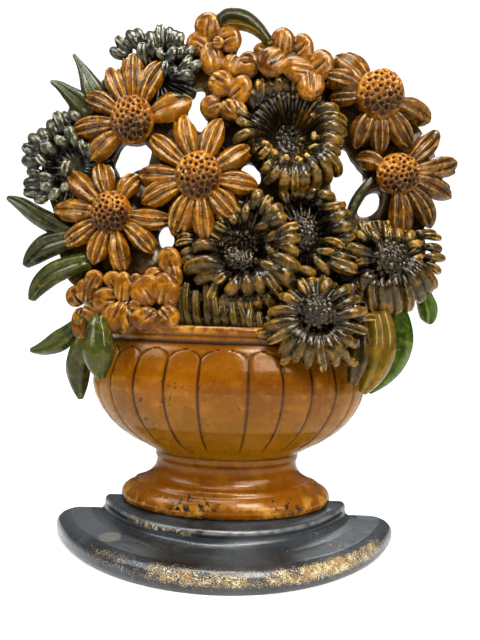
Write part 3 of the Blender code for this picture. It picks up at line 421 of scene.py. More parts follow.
FINGERS_RIGHT = [
    ([(91.5, 162.2, 25), (94.2, 164.0, 28), (99.5, 164.6, 25)], 4.3),
    ([(100.3, 169.0, 18), (104.6, 169.7, 21), (113.3, 169.1, 15)], 4.7),
    ([(101.7, 163.4, 19), (105.5, 163.6, 22), (112.6, 162.8, 16)], 4.7),
    ([(92.5, 155.6, 26), (95.5, 156.6, 28), (100.2, 158.4, 25)], 3.1),
    ([(102.1, 157.8, 20), (106.4, 158.1, 23), (114.3, 158.0, 17)], 5.0),
    ([(101.7, 153.9, 20), (105.1, 153.0, 24), (111.9, 150.3, 18)], 4.8),
    ([(93.5, 155.1, 26), (97.9, 152.3, 29), (105.3, 146.0, 24), (109.4, 142.2, 18)], 5.4),
    ([(92.2, 152.8, 27), (96.6, 149.0, 30), (102.9, 143.7, 25), (106.3, 139.9, 19)], 5.6),
    ([(89.3, 150.0, 28), (93.2, 146.1, 31), (98.3, 139.7, 26), (101.5, 134.8, 19)], 6.9),
    ([(88.9, 147.3, 28), (90.5, 141.9, 30), (93.1, 135.8, 26), (94.9, 129.6, 18)], 6.4),
    ([(85.7, 146.7, 28), (84.7, 140.7, 30), (87.6, 133.6, 25), (89.4, 127.2, 18)], 5.8),
    ([(82.0, 145.0, 28), (81.4, 139.0, 29), (83.3, 132.9, 25), (85.0, 126.0, 18)], 5.1),
    ([(78.3, 145.4, 28), (77.4, 139.4, 30), (79.5, 133.3, 25), (81.2, 126.4, 18)], 5.5),
    ([(74.5, 145.8, 28), (72.1, 140.3, 30), (73.6, 133.6, 25), (77.0, 128.5, 19)], 6.1),
    ([(72.8, 148.9, 28), (68.2, 144.4, 30), (68.3, 138.8, 26), (71.0, 133.8, 20)], 5.5),
    ([(74.8, 146.3, 29), (71.1, 144.9, 31), (67.7, 142.4, 28)], 4.3),
    ([(72.9, 157.0, 27), (65.4, 159.5, 31), (58.4, 161.1, 29)], 5.8),
    ([(71.9, 153.8, 27), (67.1, 154.0, 29), (64.4, 153.0, 27)], 4.3),
    ([(65.8, 143.5, 27), (61.0, 138.9, 30), (57.7, 134.7, 26)], 6.0),
    ([(65.1, 138.2, 26), (62.7, 134.8, 28), (60.4, 131.7, 24)], 5.3),
    ([(77.8, 163.0, 20), (76.0, 167.0, 22), (75.0, 172.2, 17)], 5.7),
    ([(83.5, 164.5, 19), (82.3, 169.0, 21), (83.0, 174.3, 16)], 5.7),
    ([(89.0, 164.6, 19), (88.3, 168.1, 21), (89.7, 172.9, 16)], 5.0),
    ([(92.4, 163.6, 19), (93.4, 167.0, 22), (96.6, 171.8, 17)], 5.0),
    ([(70.6, 165.8, 22), (67.7, 167.4, 25), (66.4, 169.6, 21)], 4.9),
    ([(74.4, 167.3, 20), (70.3, 169.4, 23), (68.5, 176.8, 18)], 5.4),
    ([(98.4, 172.2, 15), (101.6, 172.0, 17), (111.9, 173.2, 12)], 4.1),
]
FINGERS_LOW = [
    ([(51.5, 124.0, 42), (57.7, 126.2, 45), (67.9, 128.5, 41)], 6.1),
    ([(52.1, 121.1, 42), (59.1, 119.9, 44), (68.5, 117.6, 38)], 6.1),
    ([(51.2, 118.1, 42), (56.3, 114.4, 44), (63.7, 110.4, 38)], 6.1),
    ([(49.3, 116.6, 42), (53.3, 110.4, 45), (58.9, 104.4, 40)], 5.8),
    ([(46.8, 115.5, 42), (49.5, 108.4, 45), (54.1, 100.3, 40)], 6.1),
    ([(43.9, 114.9, 42), (44.6, 107.7, 45), (47.2, 97.6, 40)], 5.8),
    ([(40.9, 115.3, 42), (39.2, 108.1, 45), (39.2, 98.8, 40)], 5.8),
    ([(38.4, 116.2, 42), (34.8, 109.9, 45), (32.7, 101.6, 40)], 5.8),
    ([(36.4, 117.6, 42), (30.9, 112.6, 44), (25.7, 105.3, 39)], 6.1),
    ([(34.9, 119.6, 42), (27.9, 116.0, 44), (19.6, 111.0, 38)], 6.1),
    ([(34.3, 122.5, 42), (26.8, 120.8, 43), (17.4, 118.0, 37)], 6.1),
    ([(34.3, 126.0, 41), (27.7, 127.2, 42), (19.2, 125.6, 36)], 5.8),
    ([(35.3, 129.0, 40), (30.1, 132.3, 41), (25.0, 134.3, 36)], 5.5),
    ([(39.9, 133.7, 38), (37.1, 138.1, 39), (35.0, 142.3, 35)], 5.5),
    ([(45.9, 134.4, 38), (47.1, 138.9, 39), (49.7, 143.3, 35)], 5.5),
    ([(50.3, 132.5, 39), (54.5, 136.6, 40), (60.4, 139.6, 35)], 5.5),
    ([(52.2, 128.5, 40), (57.9, 131.7, 41), (65.4, 134.6, 36)], 5.5),
    ([(61.3, 122.4, 38), (66.0, 124.5, 39), (73.3, 124.8, 34)], 5.2),
    ([(33.4, 109.6, 40), (29.4, 104.6, 42), (26.9, 100.7, 38)], 5.2),
    ([(23.0, 115.6, 37), (18.5, 114.5, 38), (14.0, 115.8, 34)], 5.2),
    ([(54.4, 107.2, 40), (59.3, 103.5, 41), (64.2, 101.3, 37)], 4.8),
]
FINGERS_TOP_LEFT = [
    ([(-62.2, 265.5, 11), (-65.9, 266.3, 12), (-71.4, 269.9, 8)], 4.8),
    ([(-60.1, 268.1, 11), (-63.3, 270.6, 13), (-68.2, 276.8, 8)], 5.5),
    ([(-56.3, 270.3, 11), (-58.1, 273.4, 13), (-61.9, 280.2, 8)], 5.0),
    ([(-52.5, 271.9, 11), (-53.9, 274.6, 13), (-57.5, 281.2, 8)], 5.5),
    ([(-47.5, 265.8, 12), (-47.7, 270.7, 14), (-49.9, 280.7, 8)], 5.4),
    ([(-42.8, 269.0, 11), (-42.8, 274.2, 13), (-44.1, 283.6, 8)], 5.9),
    ([(-39.3, 269.8, 11), (-38.3, 275.1, 13), (-38.9, 284.1, 8)], 4.2),
    ([(-36.5, 270.9, 11), (-35.3, 274.5, 13), (-35.8, 281.5, 8)], 4.2),
    ([(-34.0, 271.4, 11), (-32.5, 274.5, 13), (-32.7, 280.7, 8)], 4.2),
    ([(-52.3, 261.8, 12), (-52.7, 265.1, 15), (-52.7, 270.4, 13)], 5.4),
    ([(-41.1, 263.2, 12), (-42.4, 264.7, 15), (-44.1, 267.9, 13)], 4.1),
    ([(-39.6, 262.2, 12), (-36.7, 264.0, 16), (-34.4, 269.2, 13)], 5.5),
    ([(-35.1, 263.7, 12), (-32.0, 265.4, 15), (-30.7, 270.2, 12)], 4.8),
    ([(-32.6, 256.6, 13), (-29.2, 259.1, 16), (-26.3, 265.1, 12)], 4.8),
    ([(-30.8, 255.6, 13), (-25.0, 257.8, 16), (-20.6, 262.4, 12)], 4.8),
    ([(-34.2, 251.6, 13), (-29.6, 252.7, 17), (-24.1, 252.3, 13)], 5.5),
    ([(-36.5, 252.0, 12), (-35.5, 254.8, 15), (-34.8, 260.1, 13)], 4.2),
    ([(-40.3, 254.6, 13), (-39.6, 256.6, 16), (-39.5, 260.8, 14)], 4.2),
    ([(-29.8, 263.9, 12), (-27.2, 266.4, 14), (-26.4, 271.8, 10)], 4.4),
    ([(-48.7, 263.8, 11), (-49.6, 264.7, 12), (-49.0, 261.7, 11)], 2.8),
]
FINGERS_FAR_LEFT = [
    ([(-92.6, 225.2, 9), (-93.8, 229.0, 11), (-97.1, 234.8, 7)], 4.1),
    ([(-95.7, 223.3, 10), (-96.9, 227.1, 12), (-100.5, 233.6, 7)], 5.4),
    ([(-99.1, 218.9, 10), (-100.7, 223.1, 12), (-104.7, 229.0, 7)], 5.4),
    ([(-103.3, 215.6, 10), (-105.1, 218.7, 12), (-109.5, 223.8, 7)], 5.2),
    ([(-106.4, 212.7, 10), (-109.2, 215.4, 12), (-114.6, 220.6, 7)], 5.2),
    ([(-107.7, 209.4, 10), (-111.6, 211.1, 12), (-118.6, 214.6, 7)], 5.4),
    ([(-108.7, 205.1, 10), (-111.7, 205.1, 12), (-117.6, 206.9, 7)], 5.4),
    ([(-107.8, 199.5, 10), (-110.1, 199.5, 12), (-115.5, 201.0, 7)], 4.2),
    ([(-106.5, 194.5, 10), (-110.0, 193.5, 12), (-117.2, 194.5, 7)], 5.0),
    ([(-105.7, 189.9, 10), (-109.8, 188.8, 12), (-117.1, 189.1, 7)], 5.0),
    ([(-103.8, 186.8, 10), (-106.2, 185.2, 12), (-109.8, 184.7, 9)], 4.6),
    ([(-99.9, 209.7, 10), (-101.7, 212.2, 14), (-105.0, 215.9, 12)], 4.2),
    ([(-103.5, 209.6, 10), (-104.8, 211.7, 14), (-105.4, 216.3, 12)], 3.8),
    ([(-104.3, 203.9, 10), (-106.0, 205.0, 14), (-108.7, 208.0, 12)], 4.2),
    ([(-93.3, 215.6, 10), (-95.1, 216.2, 14), (-98.7, 217.5, 12)], 5.0),
    ([(-88.8, 218.2, 11), (-90.4, 219.9, 15), (-91.5, 223.8, 12)], 5.0),
    ([(-87.3, 214.7, 11), (-88.2, 216.8, 15), (-89.7, 221.3, 12)], 4.6),
    ([(-82.6, 209.2, 12), (-83.2, 212.4, 15), (-85.7, 217.9, 12)], 3.9),
    ([(-80.9, 207.9, 12), (-80.1, 211.1, 15), (-82.1, 215.9, 12)], 3.7),
    ([(-100.4, 191.9, 10), (-102.1, 191.1, 14), (-106.0, 191.2, 12)], 5.0),
    ([(-99.8, 196.2, 10), (-103.0, 196.6, 13), (-107.7, 197.4, 11)], 4.2),
    ([(-93.8, 197.4, 10), (-92.6, 200.9, 14), (-91.6, 205.8, 12)], 5.1),
    ([(-96.8, 190.6, 10), (-98.5, 187.6, 13), (-101.3, 186.6, 11)], 4.6),
    ([(-92.3, 193.7, 11), (-92.6, 191.8, 14), (-94.3, 189.8, 12)], 4.1),
    ([(-86.7, 230.0, 10), (-88.5, 230.6, 12), (-92.1, 232.4, 9)], 4.6),
]


# ------------------------------------------------------------------- meshes
def mesh_of(name, points, faces):
    mesh = bpy.data.meshes.new(name)
    mesh.from_pydata((np.asarray(points) * MM).tolist(), [], faces)
    mesh.update()
    return mesh


def link(obj):
    bpy.context.scene.collection.objects.link(obj)
    return obj


def baked(obj):
    """The object's mesh with its modifiers applied."""
    bpy.context.view_layer.update()
    graph = bpy.context.evaluated_depsgraph_get()
    mesh = bpy.data.meshes.new_from_object(obj.evaluated_get(graph))
    obj.modifiers.clear()
    return mesh


def coordinates(mesh):
    co = np.empty(len(mesh.vertices) * 3)
    mesh.vertices.foreach_get("co", co)
    return co.reshape(-1, 3) / MM


def normals(mesh):
    no = np.empty(len(mesh.vertices) * 3)
    mesh.vertices.foreach_get("normal", no)
    return no.reshape(-1, 3)


def edges(mesh):
    e = np.empty(len(mesh.edges) * 2, np.int64)
    mesh.edges.foreach_get("vertices", e)
    return e.reshape(-1, 2)


def relaxed(co, e, rounds):
    """Each point moved to the mean of its neighbours, some rounds over."""
    n = len(co)
    degree = np.maximum(np.bincount(e.ravel(), minlength=n), 1)[:, None]
    for _ in range(rounds):
        total = np.stack(
            [np.bincount(e[:, 0], co[e[:, 1], i], n) + np.bincount(e[:, 1], co[e[:, 0], i], n) for i in range(3)], 1
        )
        co = 0.3 * co + 0.7 * total / degree
    return co


def shells(mesh):
    """A label for each vertex's connected shell."""
    e = edges(mesh)
    label = np.arange(len(mesh.vertices))
    while True:
        low = np.minimum(label[e[:, 0]], label[e[:, 1]])
        new = label.copy()
        np.minimum.at(new, e[:, 0], low)
        np.minimum.at(new, e[:, 1], low)
        new = new[new]
        if (new == label).all():
            return label
        label = new


def without_pockets(mesh, least=60):
    """Drops shells that lie inside the solid, and crumbs."""
    label = shells(mesh)
    co = coordinates(mesh)
    mesh.calc_loop_triangles()
    tri = np.empty(len(mesh.loop_triangles) * 3, np.int64)
    mesh.loop_triangles.foreach_get("vertices", tri)
    tri = tri.reshape(-1, 3)
    volume = np.einsum("ij,ij->i", co[tri[:, 0]], np.cross(co[tri[:, 1]], co[tri[:, 2]]))
    total = np.bincount(label[tri[:, 0]], volume, len(co))
    count = np.bincount(label, minlength=len(co))
    keep = (total[label] > 0) & (count[label] >= least)
    if keep.all():
        return mesh
    index = np.cumsum(keep) - 1
    faces = [[int(index[v]) for v in p.vertices] for p in mesh.polygons if keep[p.vertices[0]]]
    return mesh_of(mesh.name, co[keep], faces)


def attribute(mesh, name, values):
    layer = mesh.attributes.get(name) or mesh.attributes.new(name, "FLOAT", "POINT")
    layer.data.foreach_set("value", np.asarray(values, np.float32))


def wear_and_highlight_map(mesh):
    """How hollow and how proud each point lies, from 0 to 1, at two scales."""
    co, no, e = coordinates(mesh), normals(mesh), edges(mesh)
    fine = np.einsum("ij,ij->i", relaxed(co, e, 3) - co, no)
    broad = np.einsum("ij,ij->i", relaxed(co, e, 26) - co, no)
    attribute(mesh, "groove", np.clip(fine / 0.16, 0, 1))
    attribute(mesh, "hollow", np.clip(broad / 0.75, 0, 1))
    attribute(mesh, "proud", np.clip(-broad / 0.8 - 0.1, 0, 1) * 0.6 + np.clip(-fine / 0.12 - 0.1, 0, 1) * 0.4)


PIECES = {}


def piece(name, mesh, material, replaces):
    mesh.name = name
    mesh.shade_smooth()
    obj = link(bpy.data.objects.new(name, mesh))
    mesh.materials.clear()
    mesh.materials.append(material)
    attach(obj, "root")
    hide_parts(replaces)
    PIECES[name] = obj
    return obj


def cast(name, clay, voxel, material, soften=1, keep=60, shape=None):
    """Fuses the clay into one casting, and paints it."""
    mesh = mesh_of(name, np.concatenate(clay.points), clay.faces)
    obj = link(bpy.data.objects.new(name + "_clay", mesh))
    fuse = obj.modifiers.new("fuse", "REMESH")
    fuse.mode = "VOXEL"
    fuse.voxel_size = voxel * MM
    smooth = obj.modifiers.new("soften", "SMOOTH")
    smooth.factor = 0.5
    smooth.iterations = soften
    fused = without_pockets(baked(obj), keep)
    bpy.data.objects.remove(obj)
    if shape:
        co = shape(coordinates(fused))
        fused.vertices.foreach_set("co", (co * MM).ravel())
        fused.update()
    # nothing reaches behind the flat back
    co = coordinates(fused)
    co[:, 1] = np.minimum(co[:, 1], -0.05)
    fused.vertices.foreach_set("co", (co * MM).ravel())
    fused.update()
    wear_and_highlight_map(fused)
    return piece(name, fused, material, "bouquet")


# ---------------------------------------------------------------- materials
def srgb(*rgb):
    c = [v / 255.0 for v in rgb]
    return tuple(v / 12.92 if v <= 0.04045 else ((v + 0.055) / 1.055) ** 2.4 for v in c) + (1.0,)


class Paint:
    """A node material, built input by input."""

    def __init__(self, name):
        self.material = bpy.data.materials.new(name)
        self.material.use_nodes = True
        self.tree = self.material.node_tree
        self.shader = self.tree.nodes["Principled BSDF"]

    def node(self, kind, values=None, out=0, **settings):
        made = self.tree.nodes.new(kind)
        for key, value in settings.items():
            setattr(made, key, value)
        for key, value in (values or {}).items():
            self.put(made.inputs[key], value)
        return made.outputs[out]

    def put(self, socket, value):
        if isinstance(value, bpy.types.NodeSocket):
            self.tree.links.new(value, socket)
        else:
            socket.default_value = value

    def where(self):
        return self.node("ShaderNodeTexCoord", out="Object")

    def noise(self, scale, detail=4.0, rough=0.55, distort=0.0, stretch=None, seed=0.0):
        place = self.where()
        if stretch or seed:
            place = self.node("ShaderNodeMapping", {0: place, "Location": (seed, seed * 1.7, -seed), "Scale": stretch or (1, 1, 1)})
        return self.node("ShaderNodeTexNoise", {"Vector": place, "Scale": scale, "Detail": detail, "Roughness": rough, "Distortion": distort})

    def cells(self, scale, feature="F1", seed=0.0):
        place = self.node("ShaderNodeMapping", {0: self.where(), "Location": (seed, seed, seed)})
        return self.node("ShaderNodeTexVoronoi", {"Vector": place, "Scale": scale}, feature=feature)

    def attr(self, name):
        return self.node("ShaderNodeAttribute", out="Fac", attribute_name=name)

    def steps(self, value, low, high, to_low=0.0, to_high=1.0):
        return self.node(
            "ShaderNodeMapRange",
            {0: value, 1: low, 2: high, 3: to_low, 4: to_high},
            interpolation_type="SMOOTHSTEP",
        )

    def math(self, operation, a, b=0.0, clamp=False):
        return self.node("ShaderNodeMath", {0: a, 1: b}, operation=operation, use_clamp=clamp)

    def mix(self, factor, a, b, blend="MIX"):
        made = self.tree.nodes.new("ShaderNodeMix")
        made.data_type = "RGBA"
        made.blend_type = blend
        self.put(made.inputs[0], factor)
        self.put(made.inputs[6], a)
        self.put(made.inputs[7], b)
        return made.outputs[2]

    def axis(self, which):
        split = self.tree.nodes.new("ShaderNodeSeparateXYZ")
        self.put(split.inputs[0], self.where())
        return split.outputs[which]

    def spot(self, x, y, z, radius, soft=0.5):
        """1 near a place in millimetres, 0 past the radius."""
        far = self.node(
            "ShaderNodeVectorMath", {0: self.where(), 1: (x * MM, y * MM, z * MM)}, out="Value", operation="DISTANCE"
        )
        return self.steps(far, radius * MM * (1 - soft), radius * MM, 1.0, 0.0)

    def finish(self, colour, roughness=0.35, bump=None, strength=0.25, distance=0.0004, coat=0.5, coat_rough=0.1, metallic=0.0, specular=0.5, tint=(1.0, 1.0, 1.0, 1.0)):
        self.put(self.shader.inputs["Base Color"], colour)
        self.put(self.shader.inputs["Roughness"], roughness)
        self.put(self.shader.inputs["Metallic"], metallic)
        self.put(self.shader.inputs["Coat Weight"], coat)
        self.put(self.shader.inputs["Coat Roughness"], coat_rough)
        self.put(self.shader.inputs["Specular IOR Level"], specular)
        self.put(self.shader.inputs["Specular Tint"], tint)
        if bump is not None:
            made = self.node("ShaderNodeBump", {"Height": bump, "Strength": strength, "Distance": distance})
            self.put(self.shader.inputs["Normal"], made)
            self.put(self.shader.inputs["Coat Normal"], made)
        return self.material


def old_enamel(name, shade, body, light, glaze_and_shade_colour, rub_and_highlight_colour, glaze_and_shade_amount=1.0, rub_and_highlight_amount=0.5, gloss=0.3, chips=0.0, back=True, marks=(), coat=0.45, darker_right_amount=0.0):
    """Old glossy paint on cast iron: dark glazing settled in grooves and hollows, painted shade where a point lies
    sunken behind the flowers around it, ridges worn lighter and further lightened as a painted highlight, chips, and a
    bare dark back.
    """
    p = Paint(name)
    drift = p.noise(42.0, 5.0, 0.6)
    mottle = p.noise(190.0, 5.0, 0.62, 0.6)
    grit = p.noise(900.0, 4.0, 0.7)
    colour = p.mix(p.steps(drift, 0.36, 0.62), shade, body)
    colour = p.mix(p.steps(mottle, 0.42, 0.72, 0.0, 0.75), colour, light)
    streak = p.noise(320.0, 6.0, 0.7, 1.2, seed=3.1)
    dirt = p.steps(streak, 0.56, 0.72, 0.0, 0.6)
    colour = p.mix(dirt, colour, shade)
    groove, hollow, proud, sunk_shade = p.attr("groove"), p.attr("hollow"), p.attr("proud"), p.attr("sunk_shade")
    # dark glazing in grooves and hollows, plus painted shade where a point lies sunken behind its neighbours
    glaze_and_sunk_shade = p.math("ADD", p.steps(groove, 0.15, 0.95, 0.0, 0.62), p.steps(hollow, 0.12, 0.8, 0.0, 0.85))
    glaze_and_sunk_shade = p.math("MULTIPLY", glaze_and_sunk_shade, p.steps(mottle, 0.25, 0.55, 0.75, 1.15))
    glaze_and_sunk_shade = p.math("MULTIPLY", p.math("ADD", glaze_and_sunk_shade, p.steps(sunk_shade, 0.25, 1.0, 0.0, 0.55)), glaze_and_shade_amount, clamp=True)
    colour = p.mix(glaze_and_sunk_shade, colour, glaze_and_shade_colour)
    # ridges lighter: real rubbed wear, and partly a painted highlight on proud edges
    rub_and_highlight_mask = p.math("MULTIPLY", p.steps(proud, 0.2, 0.85), p.steps(streak, 0.38, 0.6), clamp=True)
    colour = p.mix(p.math("MULTIPLY", rub_and_highlight_mask, rub_and_highlight_amount), colour, rub_and_highlight_colour)
    speck = p.steps(p.noise(650.0, 3.0, 0.6, seed=5.0), 0.66, 0.7)
    worn = p.math("MULTIPLY", speck, p.steps(p.noise(60.0, 3.0, seed=9.0), 0.45, 0.65, 0.15, 1.0))
    if chips:
        flake = p.steps(p.noise(260.0, 5.0, 0.65, 0.4, seed=2.0), 0.66 - 0.04 * chips, 0.7 - 0.04 * chips)
        worn = p.math("MAXIMUM", worn, flake)
    colour = p.mix(worn, colour, srgb(24, 19, 16))
    rough = p.math("ADD", p.steps(mottle, 0.3, 0.7, gloss - 0.08, gloss + 0.14), p.math("MULTIPLY", worn, 0.25))
    if darker_right_amount:
        # darker towards the right, mixed towards the dark glazing colour
        darker_right = p.math("MULTIPLY", p.steps(p.axis(0), 0.03, 0.075), darker_right_amount)
        darker_right = p.math("MULTIPLY", darker_right, p.steps(mottle, 0.25, 0.6, 1.0, 0.55))
        colour = p.mix(darker_right, colour, glaze_and_shade_colour)
    shaded = p.attr("shade")
    colour = p.mix(p.math("MULTIPLY", shaded, 0.85), colour, glaze_and_shade_colour)
    for place, reach, tone in marks:
        ragged = p.math("ADD", p.spot(*place, reach, 0.6), p.math("MULTIPLY", p.noise(500.0, 3.0, seed=6.0), 0.7))
        colour = p.mix(p.steps(ragged, 0.95, 1.05), colour, tone)
    if back:
        # the castings' backs are dull dark iron paint with rust in the pores
        normal = p.node("ShaderNodeNewGeometry", out="Normal")
        facing = p.tree.nodes.new("ShaderNodeSeparateXYZ")
        p.put(facing.inputs[0], normal)
        behind = p.math("MULTIPLY", p.steps(facing.outputs[1], 0.35, 0.75), p.steps(p.axis(1), -0.03, -0.016))
        iron = p.mix(p.steps(drift, 0.4, 0.62), srgb(38, 34, 32), srgb(58, 48, 42))
        iron = p.mix(p.steps(streak, 0.52, 0.66, 0.0, 0.7), iron, srgb(98, 60, 38))
        colour = p.mix(behind, colour, iron)
        rough = p.math("ADD", rough, p.math("MULTIPLY", behind, 0.3))
    height = p.math("ADD", p.math("MULTIPLY", grit, 0.35), p.math("MULTIPLY", mottle, 0.8))
    height = p.math("SUBTRACT", height, p.math("MULTIPLY", worn, 0.5))
    return p.finish(colour, rough, height, 0.45, 0.0005, coat=coat, coat_rough=0.09, specular=0.25, tint=(1.0, 0.8, 0.5, 1.0))


# --------------------------------------------------------------- the bouquet
# where the web swells forward under each flower: (x, z), depth, radius
SWELLS = [
    ((-55.8, 226.9), 12.0, 24.0), ((-18.7, 195.5), 21.0, 26.0), ((-65.3, 177.0), 14.0, 24.0),
    ((76.5, 244.2), 12.0, 24.0), ((87.7, 203.1), 11.0, 24.0), ((-47.6, 252.0), 7.5, 26.0),
    ((-88.1, 204.4), 7.0, 22.0), ((26.9, 222.0), 6.5, 34.0), ((5.6, 156.0), 14.0, 34.0),
    ((38.0, 160.0), 18.0, 30.0), ((80.0, 150.0), 14.0, 30.0), ((44.0, 126.0), 28.0, 28.0),
    ((8.0, 128.0), 18.0, 36.0), ((-40.0, 126.0), 24.0, 34.0), ((-68.0, 126.0), 16.0, 24.0),
    ((-8.0, 256.0), 13.0, 26.0), ((28.0, 262.0), 13.0, 26.0), ((-50.0, 148.0), 15.0, 26.0),
]


def swell(x, z):
    """The web's front: how far it stands in front of the flat back."""
    lift = np.zeros_like(x)
    for (cx, cz), depth, radius in SWELLS:
        r = np.clip(np.hypot(x - cx, z - cz) / radius, 0, 1)
        lift = np.maximum(lift, (depth - 5.0) * (1 - r * r) ** 1.5)
    return 5.2 + lift


def make_web(material):
    curve = bpy.data.curves.new("web", "CURVE")
    curve.dimensions = "2D"
    curve.fill_mode = "BOTH"
    curve.extrude = 2.3 * MM
    for outline in [PLATE] + PIERCINGS:
        spline = curve.splines.new("POLY")
        closed = list(outline) + [outline[0]]
        ring = catmull([(*p, 0.0) for p in closed], len(outline) * 5)[:-1]
        spline.points.add(len(ring) - 1)
        for point, (x, z, _) in zip(spline.points, ring):
            point.co = (x * MM, z * MM, 0.0, 1.0)
        spline.use_cyclic_u = True
    flat = link(bpy.data.objects.new("web", curve))
    mesh = bpy.data.meshes.new_from_object(evaluated(flat))
    bpy.data.objects.remove(flat)
    co = coordinates(mesh)
    upright = np.stack([co[:, 0], co[:, 2] - 2.3, co[:, 1]], 1)
    clay = Clay()
    clay.points = [upright]
    clay.faces = [list(p.vertices) for p in mesh.polygons]
    clay.count = len(upright)
    # the bed of stems on the rim, and the tongue behind it
    bed = []
    for z, hw, d in ((118.5, 66.0, 29.0), (120.5, 66.2, 28.5), (124.0, 64.5, 23.0), (130.0, 60.0, 17.0), (136.0, 56.0, 10.0)):
        a = np.pi * np.arange(41) / 40
        bed.append(np.stack([-hw * np.cos(a), -0.4 - d * np.sin(a), np.full(41, z)], 1))
    beds = Clay()
    beds.rings(np.array(bed))

    def shape(co):
        t = np.clip(-co[:, 1] / 4.6, 0, 1)
        front = swell(co[:, 0], co[:, 2])
        back = np.clip(front - 7.0, 0, 16)
        inside = np.clip((co[:, 2] - 124) / 6, 0, 1)
        out = co.copy()
        out[:, 1] = -(back * inside + t * (front - back * inside))
        return out

    web = cast("bouquet_web", clay, 0.9, material, soften=3, shape=shape)
    cast("bouquet_bed", beds, 0.9, material, soften=2)
    tongue = Clay()
    rows = []
    for z, hw, y in ((90.3, 53.6, 4.6), (91.0, 54.9, 3.2), (112.0, 55.0, 3.0), (126.0, 55.0, 3.0)):
        c = 2.0
        rows.append([(-hw, -y, z), (-hw, -6.9, z), (hw, -6.9, z), (hw, -y, z)])
    tongue.rings(np.array(rows, float))
    cast("bouquet_tongue", tongue, 0.9, material, soften=2)
    return web


def evaluated(obj):
    bpy.context.view_layer.update()
    return obj.evaluated_get(bpy.context.evaluated_depsgraph_get())


# each dome's width and height against its nominal radius, and its shift
DOMES = {
    "daisy_upper_left": (1.06, 1.2, -0.5, 0.7), "daisy_middle": (1.08, 1.16, 0.0, 0.2), "daisy_left": (1.04, 1.1, -0.3, 0.0),
    "daisy_upper_right": (1.1, 1.17, 0.2, 0.9), "daisy_right": (1.12, 1.08, 0.4, 0.0),
}


def make_daisies(materials):
    for name, (x, z), foot, radius, height, lean, rays in DAISIES:
        clay = Clay()
        for i, (tx, tz, width, tip_depth) in enumerate(rays):
            notch = (0.16, 0, -0.15, 0, 0)[(i * 3 + len(rays)) % 5]
            petal(clay, x, z, foot + 0.6, tx, tz, tip_depth, width * 1.08, start=radius * 0.7, ridges=3 if i % 3 else 2, notch=notch)
        clay.mound(x, z, radius * 0.95, radius * 0.95, 0, max(3.0, foot - 8), lambda rho, phi: foot + 1.5 - 2 * rho**4)
        cast(name, clay, 0.5, materials["petal"], soften=1)
        eye = Clay()
        pits = pit_places(40, 0.88)
        wide, tall, over, above = DOMES[name]
        rx, rz = radius * wide, radius * tall
        x, z = x + over, z + above

        def skin(rho, phi=0.0, pits=pits, foot=foot, height=height, radius=radius):
            flat = foot + 1.0 + height * np.sqrt(np.clip(1 - (rho * 0.95) ** 2.5, 0, 1))
            px, pz = rho * np.cos(phi), rho * np.sin(phi)
            near = np.full(np.shape(px), 9.0)
            for qx, qz, size in pits:
                near = np.minimum(near, np.hypot(px - qx, pz - qz) / size)
            return flat - 1.25 * np.exp(-((near / 0.085) ** 2)) + 0.75 * np.exp(-(((near - 0.15) / 0.055) ** 2))

        eye.mound(x, z, rx, rz, 0, foot - 2, skin, levels=46, k=150)
        for i in range(26):
            rho, a = RNG.uniform(0.1, 0.85), RNG.uniform(0, 2 * math.pi)
            eye.ball(x + rx * rho * math.cos(a), z + rz * rho * math.sin(a), float(skin(rho, a)) - 0.1, RNG.uniform(0.6, 1.0))
        made = cast(name + "_eye", eye, 0.4, materials["eye"], soften=1)
        co = coordinates(made.data)
        up, across = (co[:, 2] - z) / rz, (co[:, 0] - x) / rx
        ring = np.clip((np.hypot(up, across) - 0.86) / 0.08, 0, 1)
        attribute(made.data, "shade", np.clip((0.2 - up + 0.25 * across) / 0.7, 0, 1) ** 0.8 * (1 - 0.5 * ring))


def pit_places(count, reach):
    """Pits in rings over a dome, each a little out of place."""
    found = []
    for i in range(count):
        rho, a = math.sqrt((i + 0.5) / count) * reach, i * 2.39996
        found.append((rho * math.cos(a) + RNG.uniform(-0.02, 0.02), rho * math.sin(a) + RNG.uniform(-0.02, 0.02), RNG.uniform(0.8, 1.2)))
    return found


def zinnia(name, table, material, body=None, centre=None, extra=(), plump=0.56, voxel=0.52, grow=1.0):
    clay = Clay()
    for i, (points, width) in enumerate(table):
        finger(clay, points, width * grow * RNG.uniform(0.94, 1.1), plump * RNG.uniform(0.9, 1.15), ridges=2 if i % 4 == 1 else 0)
    for points, width in extra:
        finger(clay, points, width, 0.7, tip=0.6)
    if body:
        for x, z, rx, rz, turn, back, depth in body:
            clay.mound(x, z, rx, rz, turn, back, depth, levels=20, k=168)
    domes = []
    if centre:
        for x, z, rx, rz, count, size, depth in centre:
            domes.append((x, z, max(rx, rz)))
            for i in range(count):
                rho = math.sqrt((i + 0.5) / count)
                a = i * 2.39996 + 0.4
                clay.ball(x + rx * rho * math.cos(a), z + rz * rho * math.sin(a), depth(rho), size * RNG.uniform(0.8, 1.25))
    made = cast(name, clay, voxel, material, soften=1)
    attribute(made.data, "shade", root_shade(made.data, table, extra, domes))
    return made


